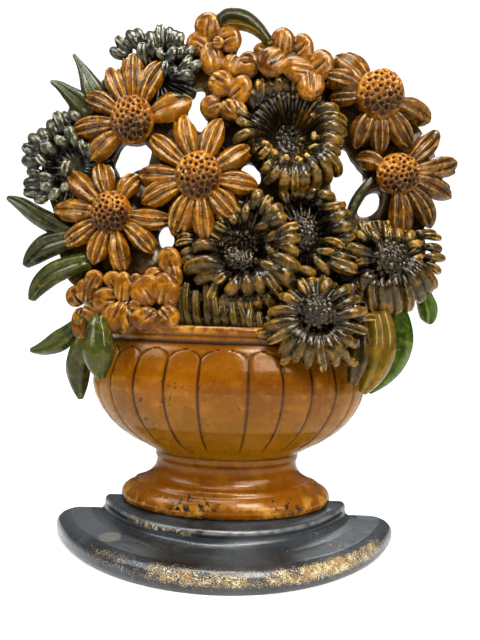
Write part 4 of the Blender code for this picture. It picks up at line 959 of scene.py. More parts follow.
def root_shade(mesh, table, extra, domes):
    """1 down in the flower and at the petals' roots, 0 out on their tips."""
    rows = []
    for points, width in table:
        path = catmull(points, 9)
        rows += [(*p, t) for p, t in zip(path.tolist(), np.linspace(0, 1, 9))]
    for points, width in extra:
        rows += [(*p, 0.7) for p in catmull(points, 4).tolist()]
    for x, z, radius in domes:
        rows += [(x + radius * u, z + radius * v, 30.0, 0.12) for u in (-0.6, 0, 0.6) for v in (-0.6, 0, 0.6)]
    rows = np.array(rows)
    co = coordinates(mesh)
    best = np.full(len(co), 1e9)
    value = np.zeros(len(co))
    for px, pz, pd, t in rows:
        far = (co[:, 0] - px) ** 2 + (co[:, 2] - pz) ** 2 + 0.15 * (-co[:, 1] - pd) ** 2
        closer = far < best
        best[closer] = far[closer]
        value[closer] = t
    value = relaxed(np.stack([value] * 3, 1), edges(mesh), 6)[:, 0]
    return np.clip(1 - (value - 0.12) / 0.5, 0, 1)


def ribbed(base, count, height=0.9, turn=0.0):
    """A flower's body, its front folded into the lower rows of petals."""

    def depth(rho, phi):
        fold = np.cos(count * (phi + turn)) * np.clip(rho * 1.6 - 0.25, 0, 1)
        return base(rho, phi) + height * (np.abs(fold) ** 0.7 * np.sign(fold))

    return depth


def cap(foot, height):
    return lambda r, p=0.0: foot + height * np.sqrt(np.clip(1 - (0.95 * r) ** 2.4, 0, 1))


def make_zinnias(materials):
    dark, bronze = materials["zinnia_dark"], materials["zinnia"]
    zinnia(
        "zinnia_top_left", FINGERS_TOP_LEFT, dark, grow=1.15,
        body=[(-44.0, 254.0, 22.0, 21.0, 20, 2.5, ribbed(lambda r, p: 10.5 - 4 * r**4, 22))],
    )
    zinnia(
        "zinnia_far_left", FINGERS_FAR_LEFT, dark, grow=1.22,
        body=[(-88.0, 203.0, 20.0, 23.0, 0, 2.5, ribbed(lambda r, p: 9.0 + 1.5 * np.sin(np.pi * r) - 3 * r**4, 22))],
    )
    zinnia(
        "zinnia_trumpet", FINGERS_TRUMPET, bronze, extra=FINGERS_TRUMPET_SEEDS,
        body=[(30.0, 223.0, 26.0, 25.5, 0, 3.0, ribbed(
            lambda r, p: 8.0 + 13.5 * np.sin(np.clip((r - 0.26) / 0.54, 0, 1) * np.pi / 2) ** 1.3
            - 8 * np.clip((r - 0.82) / 0.18, 0, 1) ** 2 - 3.5 * np.clip(np.sin(p), 0, 1) * r, 26, 1.0))],
        centre=[(28.0, 221.0, 9.5, 9.5, 40, 1.3, lambda r: 7.2 + 1.5 * r * r)],
    )
    zinnia(
        "zinnia_centre", FINGERS_CENTRE, bronze,
        body=[(5.0, 157.5, 28.0, 28.0, 0, 5.0, ribbed(
            lambda r, p: 17.0 + 10.0 * np.sin(np.clip((r - 0.2) / 0.42, 0, 1) * np.pi / 2) ** 1.2
            - 6 * np.clip((r - 0.74) / 0.26, 0, 1) ** 2, 26, 1.0))],
        centre=[(4.5, 151.6, 8.6, 6.2, 36, 1.45, lambda r: 30.2 - 3.0 * r * r), (4.0, 160.5, 9.5, 8.0, 44, 1.3, lambda r: 19.2 + 4.5 * r * r)],
    )
    zinnia(
        "zinnia_right_centre", FINGERS_RIGHT_CENTRE, bronze,
        body=[(38.0, 166.0, 21.0, 21.0, 0, 6.0, ribbed(lambda r, p: 24.5 - 4 * r**3, 22)),
              (36.6, 167.5, 8.4, 9.8, 0, 18.0, cap(25.5, 4.5))],
        centre=[(36.6, 167.5, 8.0, 9.4, 44, 1.5, cap(25.6, 4.6))],
    )
    zinnia(
        "zinnia_right", FINGERS_RIGHT, bronze,
        body=[(81.5, 152.5, 23.0, 26.0, 0, 5.0, ribbed(lambda r, p: 23.0 - 7 * r**2.2, 26, 1.0)),
              (82.6, 155.8, 10.2, 9.8, 0, 18.0, cap(25.0, 6.0))],
        centre=[(82.6, 155.8, 9.6, 9.2, 34, 1.75, cap(25.2, 5.6))],
    )
    zinnia(
        "zinnia_low", FINGERS_LOW, bronze,
        body=[(43.6, 125.5, 19.0, 19.0, 0, 30.0, ribbed(lambda r, p: 42.0 - 6.5 * r**1.8, 18)),
              (43.2, 127.0, 8.6, 8.2, 0, 36.0, cap(42.0, 4.4)), (43.4, 124.5, 12.5, 12.0, 0, 34.0, ribbed(lambda r, p: 43.4 - 3.5 * r**2, 14, 0.6))],
        centre=[(43.2, 127.0, 8.3, 7.9, 34, 1.55, cap(42.2, 4.8))],
    )


def blossom_centre(group, x, z):
    middles = {
        "blossoms_top": [(-17.8, 272.0), (-2.5, 262.5), (-13.0, 252.0), (-7.0, 241.0), (23.5, 266.5), (38.0, 258.0)],
        "blossoms_lower_left": [(-57.5, 130.0), (-37.2, 126.8), (-31.5, 147.0), (-80.0, 127.0)],
    }[group]
    return min(middles, key=lambda m: math.hypot(m[0] - x, m[1] - z))


def make_blossoms(material):
    for group, petals in BLOSSOMS.items():
        clay = Clay()
        for (x, z), rx, rz, turn, crown in petals:
            mx, mz = blossom_centre(group, x, z)
            lead = math.atan2(z - mz, x - mx) - math.radians(turn)
            back = max(2.5, crown - 13)

            def front(rho, phi, rx=rx, crown=crown, lead=lead):
                height = min(3.8, rx * 0.68) * np.sqrt(np.clip(1 - (rho * 0.98) ** 3.6, 0, 1))
                across = rho * np.sin(phi - lead)
                inward = np.clip(0.55 - rho * np.cos(phi - lead), 0, 1.2)
                crease = 1.5 * np.exp(-((across / 0.13) ** 2)) * np.clip(inward, 0, 1)
                side = 0.7 * np.exp(-(((np.abs(across) - 0.42) / 0.12) ** 2)) * np.clip(inward, 0, 1)
                return crown - min(3.8, rx * 0.68) + height - crease - side

            clay.mound(x, z, rx * 1.24, rz * 1.24, turn, back, front, levels=20, k=60, shrink=0.72)
        cast(group, clay, 0.5, material, soften=1)


def make_leaves(materials):
    for name, paint, points, thickness in LEAVES:
        clay = Clay()
        n = 40
        path = catmull(points, n)
        w = np.maximum(path[:, 3], 1.5)
        t = np.linspace(0, 1, n)
        h = thickness * 0.62 * np.clip(w / w.max(), 0.2, 1) ** 0.6 * np.clip(0.3 + 6 * t, 0, 1)
        leaf = not name.startswith("stem")
        clay.sweep(deep(path), w, h, ridges=2, ridge=0.19 if leaf else 0.05, belly=0.75, dish=0.14 if leaf else 0.0, k=36)
        cast(name, clay, 0.5, materials[paint], soften=1)
    clay = Clay()
    for (x0, z0), (x1, z1), depth, width in STEMS:
        mid = ((x0 + x1) / 2 + RNG.uniform(-1.2, 1.2), (z0 + z1) / 2, depth + 1.5)
        path = deep(catmull([(x0, z0, depth - 1), mid, (x1, z1 + 3.2, depth)], 20))
        clay.sweep(path, np.full(20, width), np.full(20, width * 0.7), ridges=2, ridge=0.12, belly=1.0, k=20)
        clay.ball(x1, z1 + 3.0, depth - 1, width * 0.6, width * 0.5, width * 0.8)
    cast("stems", clay, 0.55, materials["stem"], soften=1)


# ------------------------------------------------------------ urn and plinth
URN_PROFILE = [
    (19.3, 58.2, 34.0), (20.4, 59.3, 34.9), (22.6, 59.6, 35.2), (24.8, 58.9, 34.6), (26.8, 57.2, 33.4),
    (28.4, 55.0, 32.0), (29.4, 52.6, 30.6), (30.6, 51.6, 30.2), (31.6, 49.8, 29.4), (32.6, 46.2, 27.6),
    (34.4, 43.2, 26.0), (37.0, 41.0, 24.9), (40.0, 40.0, 24.4), (42.6, 39.7, 24.3), (43.4, 40.5, 25.0),
    (45.4, 41.0, 25.4), (46.9, 40.3, 25.0), (47.8, 41.4, 25.6), (50.8, 47.2, 28.0), (54.8, 55.2, 31.4),
    (59.4, 62.2, 34.6), (64.6, 67.8, 37.4), (71.0, 72.6, 39.8), (77.6, 76.0, 41.4), (84.0, 77.6, 42.2),
    (90.0, 77.4, 42.0), (96.0, 75.6, 41.0), (101.5, 73.0, 39.6), (105.6, 70.6, 38.2), (107.2, 69.2, 37.4),
    (109.6, 68.4, 36.8), (110.8, 68.8, 37.2), (111.8, 69.8, 38.0), (112.8, 69.2, 37.4), (114.6, 70.2, 38.2),
    (116.6, 70.2, 38.2), (118.0, 68.8, 37.0),
]
URN_HOLLOW = [
    (27.6, 49.0, 26.5), (30.5, 45.4, 24.4), (33.0, 39.0, 21.2), (37.5, 35.8, 19.8), (48.6, 35.4, 20.4),
    (51.6, 38.6, 22.2), (55.2, 45.6, 24.6), (59.6, 53.2, 27.6), (64.8, 60.0, 30.6), (70.0, 64.8, 33.0),
    (77.0, 69.6, 35.4), (84.0, 72.4, 37.0), (90.0, 72.6, 37.2), (96.0, 70.8, 36.2), (102.0, 67.8, 34.4),
    (107.0, 65.0, 33.0), (126.0, 65.0, 33.0),
]
FLUTE_EDGES = (-67.0, -53.8, -39.2, -24.8, -11.0, 7.8, 21.5, 34.2, 47.0, 60.5, 73.0)


def dense(profile, step):
    """The profile resampled finely, rounded between its points."""
    p = np.array(profile, float)
    far = np.concatenate([[0], np.cumsum(np.linalg.norm(np.diff(p[:, :2], axis=0), axis=1))])
    count = int(far[-1] / step)
    t = np.linspace(0, far[-1], count)
    out = np.stack([np.interp(t, far, p[:, i]) for i in range(3)], 1)
    for _ in range(3):
        out[1:-1] = 0.25 * out[:-2] + 0.5 * out[1:-1] + 0.25 * out[2:]
    return out


def solid_rows(name, rows):
    """A closed solid through equal rows of points, capped at both ends."""
    n, k, _ = rows.shape
    i = (np.arange(n - 1) * k)[:, None]
    j = np.arange(k)
    nj = (j + 1) % k
    faces = np.stack([i + j, i + nj, i + k + nj, i + k + j], -1).reshape(-1, 4).tolist()
    faces += [list(range(k - 1, -1, -1)), list(range((n - 1) * k, n * k))]
    return mesh_of(name, rows.reshape(-1, 3), faces)


def cut(mesh, cutter):
    body = link(bpy.data.objects.new("body", mesh))
    other = link(bpy.data.objects.new("cutter", cutter))
    made = body.modifiers.new("cut", "BOOLEAN")
    made.operation, made.object, made.solver = "DIFFERENCE", other, "MANIFOLD"
    done = baked(body)
    bpy.data.objects.remove(body)
    bpy.data.objects.remove(other)
    return done


def make_urn(material):
    profile = dense(URN_PROFILE, 0.55)
    n, steps = len(profile), 300
    a = np.pi * np.arange(steps + 1) / steps
    degrees = np.degrees(a) - 90
    rows = []
    for z, hw, d in profile:
        cutting = np.zeros_like(a)
        for edge_at, nxt in zip(FLUTE_EDGES, FLUTE_EDGES[1:] + (None,)):
            # a groove between two flutes; each flute's top is an arch, so the groove forks there
            radius = hw
            off = np.abs(degrees - edge_at) * math.pi / 180 * 60.0
            top = 105.5
            if 49.0 < z < top + 1:
                # half width to the arch at this height: 0 well below, growing to meet its neighbours
                rise = np.clip((z - (top - 5.5)) / 5.5, 0, 1)
                fork = 6.6 * (1 - math.sqrt(max(0.0, 1 - rise**2)))
                fade = min(1.0, max(0.0, (z - 49.0) / 7.0))
                width = 0.85
                cutting = np.maximum(cutting, fade * np.exp(-((np.abs(off - fork) / width) ** 2)))
        swell_out = 0.0
        depth = 0.75 * cutting
        k = 1 - depth / 60.0
        rows.append(np.stack([-hw * k * np.cos(a), -d * k * np.sin(a), np.full(len(a), z)], 1))
    outer = solid_rows("urn", np.array(rows))
    hollow = dense(URN_HOLLOW, 2.0)
    b = np.pi * np.arange(81) / 80
    rows = []
    for z, hw, d in hollow:
        ring = np.stack([-hw * np.cos(b), -d * np.sin(b), np.full(len(b), z)], 1)
        rows.append(np.concatenate([[(-hw, 12.0, z)], ring, [(hw, 12.0, z)]]))
    urn = cut(outer, solid_rows("hollow", np.array(rows)))
    wear_and_highlight_rows(urn)
    return piece("urn", urn, material, "urn_body")


def wear_and_highlight_rows(mesh):
    """As wear_and_highlight_map, for the finer, uneven mesh of a lofted casting."""
    co, no, e = coordinates(mesh), normals(mesh), edges(mesh)
    fine = np.einsum("ij,ij->i", relaxed(co, e, 8) - co, no)
    broad = np.einsum("ij,ij->i", relaxed(co, e, 60) - co, no)
    below = np.clip((co[:, 2] - 44.0) / 8.0, 0, 1) * 0.7 + 0.3 if co[:, 2].max() > 60 else 1.0
    attribute(mesh, "groove", np.clip(fine / 0.10, 0, 1) * below)
    attribute(mesh, "hollow", np.clip(broad / 0.6, 0, 1))
    attribute(mesh, "proud", np.clip(-broad / 0.5, 0, 1))
    attribute(mesh, "sunk_shade", np.zeros(len(co)))


PLINTH_LEVELS = [
    (0.0, 91.8, 68.2, 5.4), (0.9, 93.2, 69.3, 6.4), (2.8, 94.0, 70.0, 7.0), (6.2, 94.0, 70.0, 7.0),
    (8.4, 93.2, 69.2, 6.4), (10.2, 91.3, 67.5, 5.2), (11.2, 88.0, 64.6, 4.4), (11.0, 82.0, 59.6, 3.6),
    (10.8, 76.0, 54.2, 3.0), (11.4, 71.6, 49.8, 2.6), (12.8, 69.3, 47.2, 2.4), (15.0, 68.4, 46.2, 2.4),
    (16.4, 68.5, 46.5, 2.5), (18.1, 68.4, 46.4, 2.5), (19.0, 67.3, 45.3, 1.6),
]


def half_moon(half_width, depth, tip, arc=140, round_off=14):
    """A circle's segment standing on the back plane, its two tips rounded."""
    tip_x = half_width - tip
    radius = (tip_x**2 + depth**2 - 2 * tip * depth) / (2 * (depth - 2 * tip))
    centre = radius - depth
    joint = math.atan2(-tip - centre, tip_x)
    right = []
    for i in range(arc // 2 + 1):
        a = -math.pi / 2 + (joint + math.pi / 2) * i / (arc // 2)
        right.append((radius * math.cos(a), centre + radius * math.sin(a)))
    for i in range(1, round_off + 1):
        a = joint + (math.pi / 2 - joint) * i / round_off
        right.append((tip_x + tip * math.cos(a), -tip + tip * math.sin(a)))
    left = [(-x, y) for x, y in reversed(right[1:])]
    return left + right


def make_plinth(material):
    levels = np.array(PLINTH_LEVELS)
    far = np.concatenate([[0], np.cumsum(np.linalg.norm(np.diff(levels[:, :2], axis=0), axis=1))])
    t = np.linspace(0, far[-1], 120)
    fine = np.stack([np.interp(t, far, levels[:, i]) for i in range(4)], 1)
    for _ in range(4):
        fine[1:-1] = 0.25 * fine[:-2] + 0.5 * fine[1:-1] + 0.25 * fine[2:]
    rows = [[(x, y, z) for x, y in half_moon(hw, d, tip)] for z, hw, d, tip in fine]
    plinth = solid_rows("plinth", np.array(rows))
    holes = []
    for x in (-34.0, 34.0):
        a = 2 * np.pi * np.arange(32) / 32
        ring = [np.stack([x + r * np.cos(a), -16 + r * np.sin(a), np.full(32, z)], 1) for r, z in ((5.6, -3.0), (5.6, 4.6), (2.9, 4.6), (2.9, 24.0))]
        plinth = cut(plinth, solid_rows("hole", np.array(ring)))
    wear_and_highlight_rows(plinth)
    return piece("plinth", plinth, material, "plinth_base")


# ------------------------------------------------------------------ the paint
def make_materials():
    made = {
        "petal": old_enamel("petal_amber", srgb(78, 44, 4), srgb(134, 84, 8), srgb(186, 128, 26), srgb(22, 14, 7), srgb(244, 208, 146), 1.5, 0.75, 0.18, 0.7, coat=0.45, darker_right_amount=0.6, marks=[((-31.5, -21.0, 241.4), 4.2, srgb(36, 28, 18)), ((101.0, -13.0, 229.0), 4.5, srgb(40, 30, 18))]),
        "eye": old_enamel("eye_russet", srgb(116, 64, 8), srgb(168, 102, 18), srgb(208, 146, 44), srgb(30, 13, 6), srgb(248, 208, 132), 1.4, 0.7, 0.16, 0.3, coat=0.45),
        "zinnia": old_enamel("zinnia_bronze", srgb(28, 27, 12), srgb(74, 56, 12), srgb(158, 110, 22), srgb(11, 11, 10), srgb(232, 188, 96), 1.5, 0.85, 0.14, 0.2, coat=0.6),
        "zinnia_dark": old_enamel("zinnia_slate", srgb(28, 31, 27), srgb(58, 57, 38), srgb(98, 92, 58), srgb(9, 10, 11), srgb(228, 222, 190), 1.4, 0.85, 0.13, 0.2, coat=0.75),
        "blossom": old_enamel("blossom_orange", srgb(84, 46, 4), srgb(132, 80, 8), srgb(186, 130, 34), srgb(32, 16, 6), srgb(248, 206, 120), 1.45, 0.75, 0.17, 0.6, coat=0.45, marks=[((18.2, -23.0, 259.6), 3.2, srgb(30, 24, 16))]),
        "leaf_dark": old_enamel("leaf_dark", srgb(28, 31, 17), srgb(52, 55, 26), srgb(88, 82, 38), srgb(11, 13, 10), srgb(140, 136, 90), 1.2, 0.5, 0.16, 0.2),
        "leaf_green": old_enamel("leaf_green", srgb(34, 42, 18), srgb(64, 70, 24), srgb(104, 98, 34), srgb(13, 17, 10), srgb(150, 146, 90), 1.2, 0.45, 0.16, 0.2),
        "leaf_gold": old_enamel("leaf_gold", srgb(66, 60, 16), srgb(112, 86, 22), srgb(140, 112, 34), srgb(18, 18, 9), srgb(170, 148, 70), 1.2, 0.4, 0.16, 0.2),
        "leaf_bright": old_enamel("leaf_bright", srgb(36, 60, 16), srgb(66, 92, 20), srgb(112, 122, 34), srgb(14, 24, 8), srgb(160, 160, 84), 1.1, 0.4, 0.14, 0.1),
        "stem": old_enamel("stem_olive", srgb(38, 30, 10), srgb(70, 52, 14), srgb(96, 74, 22), srgb(13, 11, 7), srgb(146, 118, 56), 1.2, 0.4, 0.2, 0.1),
        "web": old_enamel("web_umber", srgb(40, 30, 16), srgb(84, 60, 26), srgb(118, 88, 42), srgb(24, 18, 11), srgb(140, 108, 58), 0.75, 0.5, 0.24, 0.1),
    }
    return made


def urn_paint():
    p = Paint("urn_amber")
    drift = p.noise(22.0, 4.0, 0.55)
    mottle = p.noise(120.0, 6.0, 0.65, 0.15)
    runs = p.noise(90.0, 5.0, 0.6, 0.1, stretch=(1.6, 1.6, 0.35), seed=4.0)
    grit = p.noise(800.0, 4.0, 0.7)
    colour = p.mix(p.steps(drift, 0.35, 0.65), srgb(106, 60, 1), srgb(134, 80, 2))
    colour = p.mix(p.steps(mottle, 0.45, 0.75, 0.0, 0.35), colour, srgb(160, 104, 6))
    colour = p.mix(p.steps(runs, 0.5, 0.72, 0.0, 0.3), colour, srgb(104, 56, 1))
    # yellower towards the bowl's sides and underside
    z, x = p.axis(2), p.axis(0)
    low = p.steps(z, 0.046, 0.088, 1.0, 0.0)
    side = p.steps(p.math("ABSOLUTE", x), 0.045, 0.078)
    yellow = p.math("MULTIPLY", p.math("MAXIMUM", p.math("MULTIPLY", low, p.steps(z, 0.044, 0.05)), side), 0.45)
    colour = p.mix(yellow, colour, srgb(176, 126, 8))
    groove = p.attr("groove")
    hollow = p.attr("hollow")
    proud = p.attr("proud")
    pool = p.math("ADD", p.steps(groove, 0.2, 0.95, 0.0, 0.85), p.steps(hollow, 0.25, 1.0, 0.0, 0.4), clamp=True)
    colour = p.mix(pool, colour, srgb(48, 24, 4))
    # proud edges lighter gold: rubbed paint, and partly a painted highlight
    rub_and_highlight_mask = p.math("MULTIPLY", p.steps(proud, 0.2, 0.9), p.steps(mottle, 0.45, 0.65), clamp=True)
    colour = p.mix(p.math("MULTIPLY", rub_and_highlight_mask, 0.4), colour, srgb(236, 180, 84))
    # chips down to black iron, thickest along the foot's roll and low on the bowl
    flake = p.noise(330.0, 5.0, 0.7, 0.5, seed=1.3)
    where = p.math("MULTIPLY", p.steps(p.noise(48.0, 3.0, seed=6.0), 0.42, 0.62), 1.0)
    foot = p.steps(z, 0.026, 0.034, 1.0, 0.0)
    foot_chips = p.math("MULTIPLY", foot, p.math("MAXIMUM", p.spot(-16.0, -33.0, 27.0, 26.0, 0.9), p.spot(34.0, -29.0, 24.0, 14.0, 0.9)))
    likely = p.math("ADD", p.math("MULTIPLY", where, 0.045), p.math("MULTIPLY", foot_chips, 0.14))
    likely = p.math("ADD", likely, p.math("MULTIPLY", foot, 0.02))
    likely = p.math("ADD", likely, p.math("MULTIPLY", p.steps(groove, 0.3, 0.8), 0.03))
    bowl_chips = p.math("MAXIMUM", p.spot(-42.0, -30.0, 74.0, 24.0, 0.9), p.spot(-22.0, -38.0, 88.0, 18.0, 0.9))
    likely = p.math("ADD", likely, p.math("MULTIPLY", bowl_chips, 0.07))
    chip = p.steps(p.math("ADD", flake, likely), 0.685, 0.7)
    speck = p.steps(p.noise(900.0, 2.0, 0.5, seed=8.0), 0.7, 0.73)
    chip = p.math("MAXIMUM", chip, p.math("MULTIPLY", speck, where))
    colour = p.mix(chip, colour, srgb(30, 22, 16))
    normal = p.node("ShaderNodeNewGeometry", out="Normal")
    facing = p.tree.nodes.new("ShaderNodeSeparateXYZ")
    p.put(facing.inputs[0], normal)
    behind = p.math("MULTIPLY", p.steps(facing.outputs[1], 0.05, 0.35), 1.0)
    iron = p.mix(p.steps(p.noise(60.0, 5.0), 0.4, 0.62), srgb(36, 32, 30), srgb(60, 46, 38))
    iron = p.mix(p.steps(p.noise(240.0, 5.0, 0.7, seed=2.2), 0.52, 0.66, 0.0, 0.7), iron, srgb(104, 62, 38))
    colour = p.mix(behind, colour, iron)
    rough = p.math("ADD", p.steps(mottle, 0.3, 0.7, 0.2, 0.36), p.math("MULTIPLY", p.math("MAXIMUM", chip, behind), 0.3))
    height = p.math("ADD", p.math("MULTIPLY", grit, 0.25), p.math("MULTIPLY", mottle, 1.0))
    height = p.math("SUBTRACT", height, p.math("MULTIPLY", chip, 0.7))
    return p.finish(colour, rough, height, 0.35, 0.0006, coat=0.45, coat_rough=0.06, specular=0.25, tint=(1.0, 0.72, 0.35, 1.0))


def plinth_paint():
    p = Paint("plinth_black")
    drift = p.noise(30.0, 5.0, 0.6)
    mottle = p.noise(150.0, 5.0, 0.65, 0.6)
    grit = p.noise(900.0, 4.0, 0.7)
    # dark paint mottled towards bluish grey and grey, partly a painted sheen standing in for reflections
    colour = p.mix(p.steps(drift, 0.35, 0.65), srgb(18, 21, 24), srgb(54, 60, 64))
    colour = p.mix(p.steps(mottle, 0.5, 0.72, 0.0, 0.5), colour, srgb(70, 68, 62))
    z = p.axis(2)
    proud = p.attr("proud")
    # rubbed through to cream and gold primer in flecks along the front roll
    roll = p.math("MULTIPLY", p.steps(z, 0.0002, 0.002), p.steps(z, 0.0092, 0.0118, 1.0, 0.0))
    fleck = p.noise(1900.0, 3.0, 0.75, 0.2, stretch=(0.7, 1.0, 1.6), seed=3.0)
    patch = p.noise(48.0, 5.0, 0.65, seed=7.0)
    crown = p.math("MULTIPLY", p.steps(z, 0.0012, 0.0062), roll)
    band = p.math("MAXIMUM", p.spot(2.0, -70.0, 8.0, 82.0, 0.5), p.spot(62.0, -44.0, 9.0, 42.0, 0.6))
    band = p.math("MAXIMUM", band, p.math("MULTIPLY", p.spot(-54.0, -50.0, 8.0, 25.0, 0.9), 0.6))
    likely = p.math("MULTIPLY", p.math("MULTIPLY", crown, band), p.steps(patch, 0.3, 0.62, 0.35, 1.0))
    wing = p.math("MULTIPLY", p.spot(60.0, -36.0, 11.0, 26.0, 0.9), p.steps(patch, 0.42, 0.6))
    likely = p.math("MAXIMUM", likely, p.math("MULTIPLY", wing, 0.62))
    likely = p.math("MAXIMUM", likely, p.math("MULTIPLY", roll, p.steps(patch, 0.45, 0.7, 0.12, 0.4)))
    worn = p.steps(p.math("ADD", fleck, p.math("MULTIPLY", likely, 0.26)), 0.69, 0.73)
    upper = p.steps(z, 0.0135, 0.0145, 1.0, 0.0)
    worn = p.math("MULTIPLY", worn, upper)
    # and thinly along the left of the upper tier's edge
    left_lip = p.math("MULTIPLY", p.spot(-33.0, -38.0, 17.0, 24.0, 0.6), p.steps(z, 0.0148, 0.0162))
    left_lip = p.math("MULTIPLY", left_lip, p.steps(z, 0.0176, 0.0184, 1.0, 0.0))
    worn = p.math("MAXIMUM", worn, p.math("MULTIPLY", left_lip, p.steps(p.noise(600.0, 4.0, 0.7, seed=5.5), 0.5, 0.56)))
    cream = p.mix(p.steps(p.noise(300.0, 4.0, seed=9.0), 0.42, 0.6), srgb(176, 140, 84), srgb(226, 206, 160))
    colour = p.mix(worn, colour, cream)
    # the upper tier's edge lighter grey: rubbed paint, and partly a painted highlight
    lip_rub_and_highlight = p.math("MULTIPLY", p.steps(z, 0.0164, 0.0176), p.steps(z, 0.0184, 0.0188, 1.0, 0.0))
    lip_rub_and_highlight = p.math("MULTIPLY", lip_rub_and_highlight, p.steps(p.noise(160.0, 5.0, 0.7, seed=5.0), 0.36, 0.6))
    colour = p.mix(p.math("MULTIPLY", lip_rub_and_highlight, 0.5), colour, srgb(150, 146, 136))
    mark = p.spot(-56.5, -38.0, 11.0, 6.2, 0.14)
    mark = p.math("MULTIPLY", mark, p.steps(p.noise(300.0, 3.0), 0.35, 0.55, 0.35, 0.8))
    colour = p.mix(mark, colour, srgb(104, 96, 84))
    rust = p.steps(p.noise(210.0, 5.0, 0.7, seed=12.0), 0.62, 0.7, 0.0, 0.6)
    colour = p.mix(rust, colour, srgb(84, 52, 30))
    rough = p.math("ADD", p.steps(mottle, 0.3, 0.7, 0.26, 0.42), p.math("MULTIPLY", worn, 0.25))
    height = p.math("ADD", p.math("MULTIPLY", grit, 0.4), p.math("MULTIPLY", mottle, 0.9))
    height = p.math("SUBTRACT", height, p.math("MULTIPLY", worn, 0.6))
    return p.finish(colour, rough, height, 0.4, 0.0006, coat=0.85, coat_rough=0.16, specular=0.5)


def screw_steel():
    p = Paint("screw_steel")
    stain = p.noise(700.0, 5.0, 0.65)
    brushed = p.noise(500.0, 3.0, 0.6, stretch=(1.0, 6.0, 1.0), seed=2.0)
    colour = p.mix(p.steps(brushed, 0.35, 0.65), srgb(128, 124, 118), srgb(168, 164, 156))
    rust = p.steps(stain, 0.5, 0.64, 0.0, 0.85)
    colour = p.mix(rust, colour, srgb(104, 66, 40))
    rough = p.math("ADD", p.steps(brushed, 0.3, 0.7, 0.28, 0.45), p.math("MULTIPLY", rust, 0.3))
    return p.finish(colour, rough, stain, 0.3, 0.0002, coat=0.0, metallic=0.9)


def paint_sunk_shade():
    """How far each point of the bouquet lies behind the flowers around it, kept for the painted shade that darkens such
    sunken places.
    """
    cell, low, shape = 1.0, (-140.0, 60.0), (285, 250)
    grid = np.zeros(shape)
    bouquet = [o for o in PIECES.values() if o.name not in ("urn", "plinth")]
    for obj in bouquet:
        co = coordinates(obj.data)
        i = np.clip(((co[:, 0] - low[0]) / cell).astype(int), 0, shape[0] - 1)
        j = np.clip(((co[:, 2] - low[1]) / cell).astype(int), 0, shape[1] - 1)
        np.maximum.at(grid, (i, j), -co[:, 1])
    for _ in range(3):
        for axis in (0, 1):
            total = np.zeros_like(grid)
            for shift in range(-3, 4):
                total += np.roll(grid, shift, axis)
            grid = total / 7
    for obj in bouquet:
        co = coordinates(obj.data)
        i = np.clip(((co[:, 0] - low[0]) / cell).astype(int), 0, shape[0] - 1)
        j = np.clip(((co[:, 2] - low[1]) / cell).astype(int), 0, shape[1] - 1)
        attribute(obj.data, "sunk_shade", np.clip((grid[i, j] + co[:, 1] - 1.0) / 9.0, 0, 1))


# --------------------------------------------------------------- put together
paints = make_materials()
make_plinth(plinth_paint())
make_urn(urn_paint())
make_web(paints["web"])
make_daisies(paints)
make_zinnias(paints)
make_blossoms(paints["blossom"])
make_leaves(paints)
paint_sunk_shade()

steel = screw_steel()
for node_name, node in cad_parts.items():
    if "screw" in node_name:
        node.data.materials.clear()
        node.data.materials.append(steel)


# ---------------------------------------------------------------- the picture
def make_stage():
    mesh = bpy.data.meshes.new("floor")
    mesh.from_pydata([(-4, -4, 0), (4, -4, 0), (4, 6, 0), (-4, 6, 0)], [], [(0, 1, 2, 3)])
    floor = link(bpy.data.objects.new("floor", mesh))
    p = Paint("floor_pale")
    tone = p.noise(3.0, 3.0, 0.5)
    p.put(p.shader.inputs["Base Color"], p.mix(tone, srgb(236, 235, 233), srgb(244, 243, 241)))
    p.put(p.shader.inputs["Roughness"], 0.85)
    # the picture's floor runs out to white, as a lit sweep does
    path = p.node("ShaderNodeLightPath", out="Is Camera Ray")
    far = p.node("ShaderNodeVectorMath", {0: p.where(), 1: (0.0, 0.0, 0.0)}, out="Value", operation="DISTANCE")
    glow = p.steps(far, 0.25, 1.3, 0.34, 0.8)
    p.put(p.shader.inputs["Emission Color"], (1.0, 1.0, 1.0, 1.0))
    p.put(p.shader.inputs["Emission Strength"], p.math("MULTIPLY", glow, path))
    mesh.materials.append(p.material)


def area(name, where, aim, size, power, colour, size_y=None):
    light = bpy.data.lights.new(name, "AREA")
    light.shape = "RECTANGLE"
    light.size, light.size_y = size, size_y or size
    light.energy = power
    light.color = colour
    obj = link(bpy.data.objects.new(name, light))
    obj.location = where
    obj.rotation_euler = (Vector(aim) - Vector(where)).to_track_quat("-Z", "Y").to_euler()


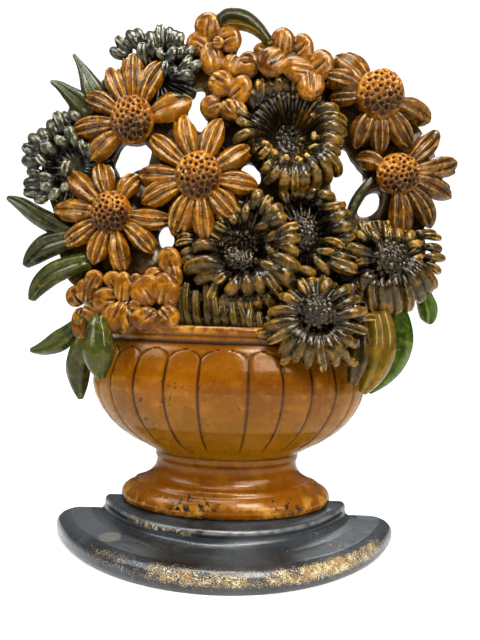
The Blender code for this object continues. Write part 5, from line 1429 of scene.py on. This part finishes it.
def make_lights():
    centre = (0.0, -0.03, 0.14)

    def at(azimuth, elevation, distance):
        a, e = math.radians(azimuth), math.radians(elevation)
        return (
            centre[0] + distance * math.cos(e) * math.sin(a),
            centre[1] - distance * math.cos(e) * math.cos(a),
            centre[2] + distance * math.sin(e),
        )

    area("window", at(22, 46, 0.95), centre, 0.26, 5.6, (1.0, 0.975, 0.94), 0.32)
    area("window_low", at(31, 24, 0.95), centre, 0.56, 2.6, (1.0, 0.97, 0.96), 0.17)
    area("soft_left", at(-58, 40, 1.2), centre, 0.5, 5.0, (0.74, 0.87, 1.0))
    area("soft_top", at(-20, 76, 1.1), centre, 0.45, 6.5, (0.97, 0.985, 1.0))
    area("soft_back", at(176, 42, 1.5), centre, 0.9, 9.0, (0.88, 0.95, 1.0))
    sun = bpy.data.lights.new("sky", "SUN")
    sun.energy = 0.5
    sun.angle = math.radians(150)
    link(bpy.data.objects.new("sky", sun))
    world = bpy.data.worlds.new("studio")
    world.use_nodes = True
    tree = world.node_tree
    back = tree.nodes["Background"]
    back.inputs["Color"].default_value = (1.0, 1.0, 1.0, 1.0)
    back.inputs["Strength"].default_value = 0.08
    seen = tree.nodes.new("ShaderNodeBackground")
    seen.inputs["Color"].default_value = (1.0, 1.0, 1.0, 1.0)
    seen.inputs["Strength"].default_value = 1.0
    mix = tree.nodes.new("ShaderNodeMixShader")
    path = tree.nodes.new("ShaderNodeLightPath")
    tree.links.new(path.outputs["Is Camera Ray"], mix.inputs[0])
    tree.links.new(back.outputs[0], mix.inputs[1])
    tree.links.new(seen.outputs[0], mix.inputs[2])
    tree.links.new(mix.outputs[0], tree.nodes["World Output"].inputs[0])
    bpy.context.scene.world = world


def make_camera():
    data = bpy.data.cameras.new("camera")
    data.lens = 28.13
    data.sensor_width = 36.0
    data.sensor_fit = "AUTO"
    data.clip_start = 0.01
    camera = link(bpy.data.objects.new("camera", data))
    camera.rotation_mode = "QUATERNION"
    roll = math.radians(1.8)
    right = Vector((math.cos(roll), 0.0, math.sin(roll)))
    up = Vector((-math.sin(roll), 0.0, math.cos(roll)))
    back = right.cross(up)
    from mathutils import Matrix

    turn = Matrix((right, up, back)).transposed()
    camera.matrix_world = Matrix.Translation((0.0052, -0.2885, 0.1216)) @ turn.to_4x4()
    bpy.context.scene.camera = camera


make_stage()
make_lights()
make_camera()
bpy.context.scene.view_settings.view_transform = "Standard"
bpy.context.scene.view_settings.look = "Medium High Contrast"
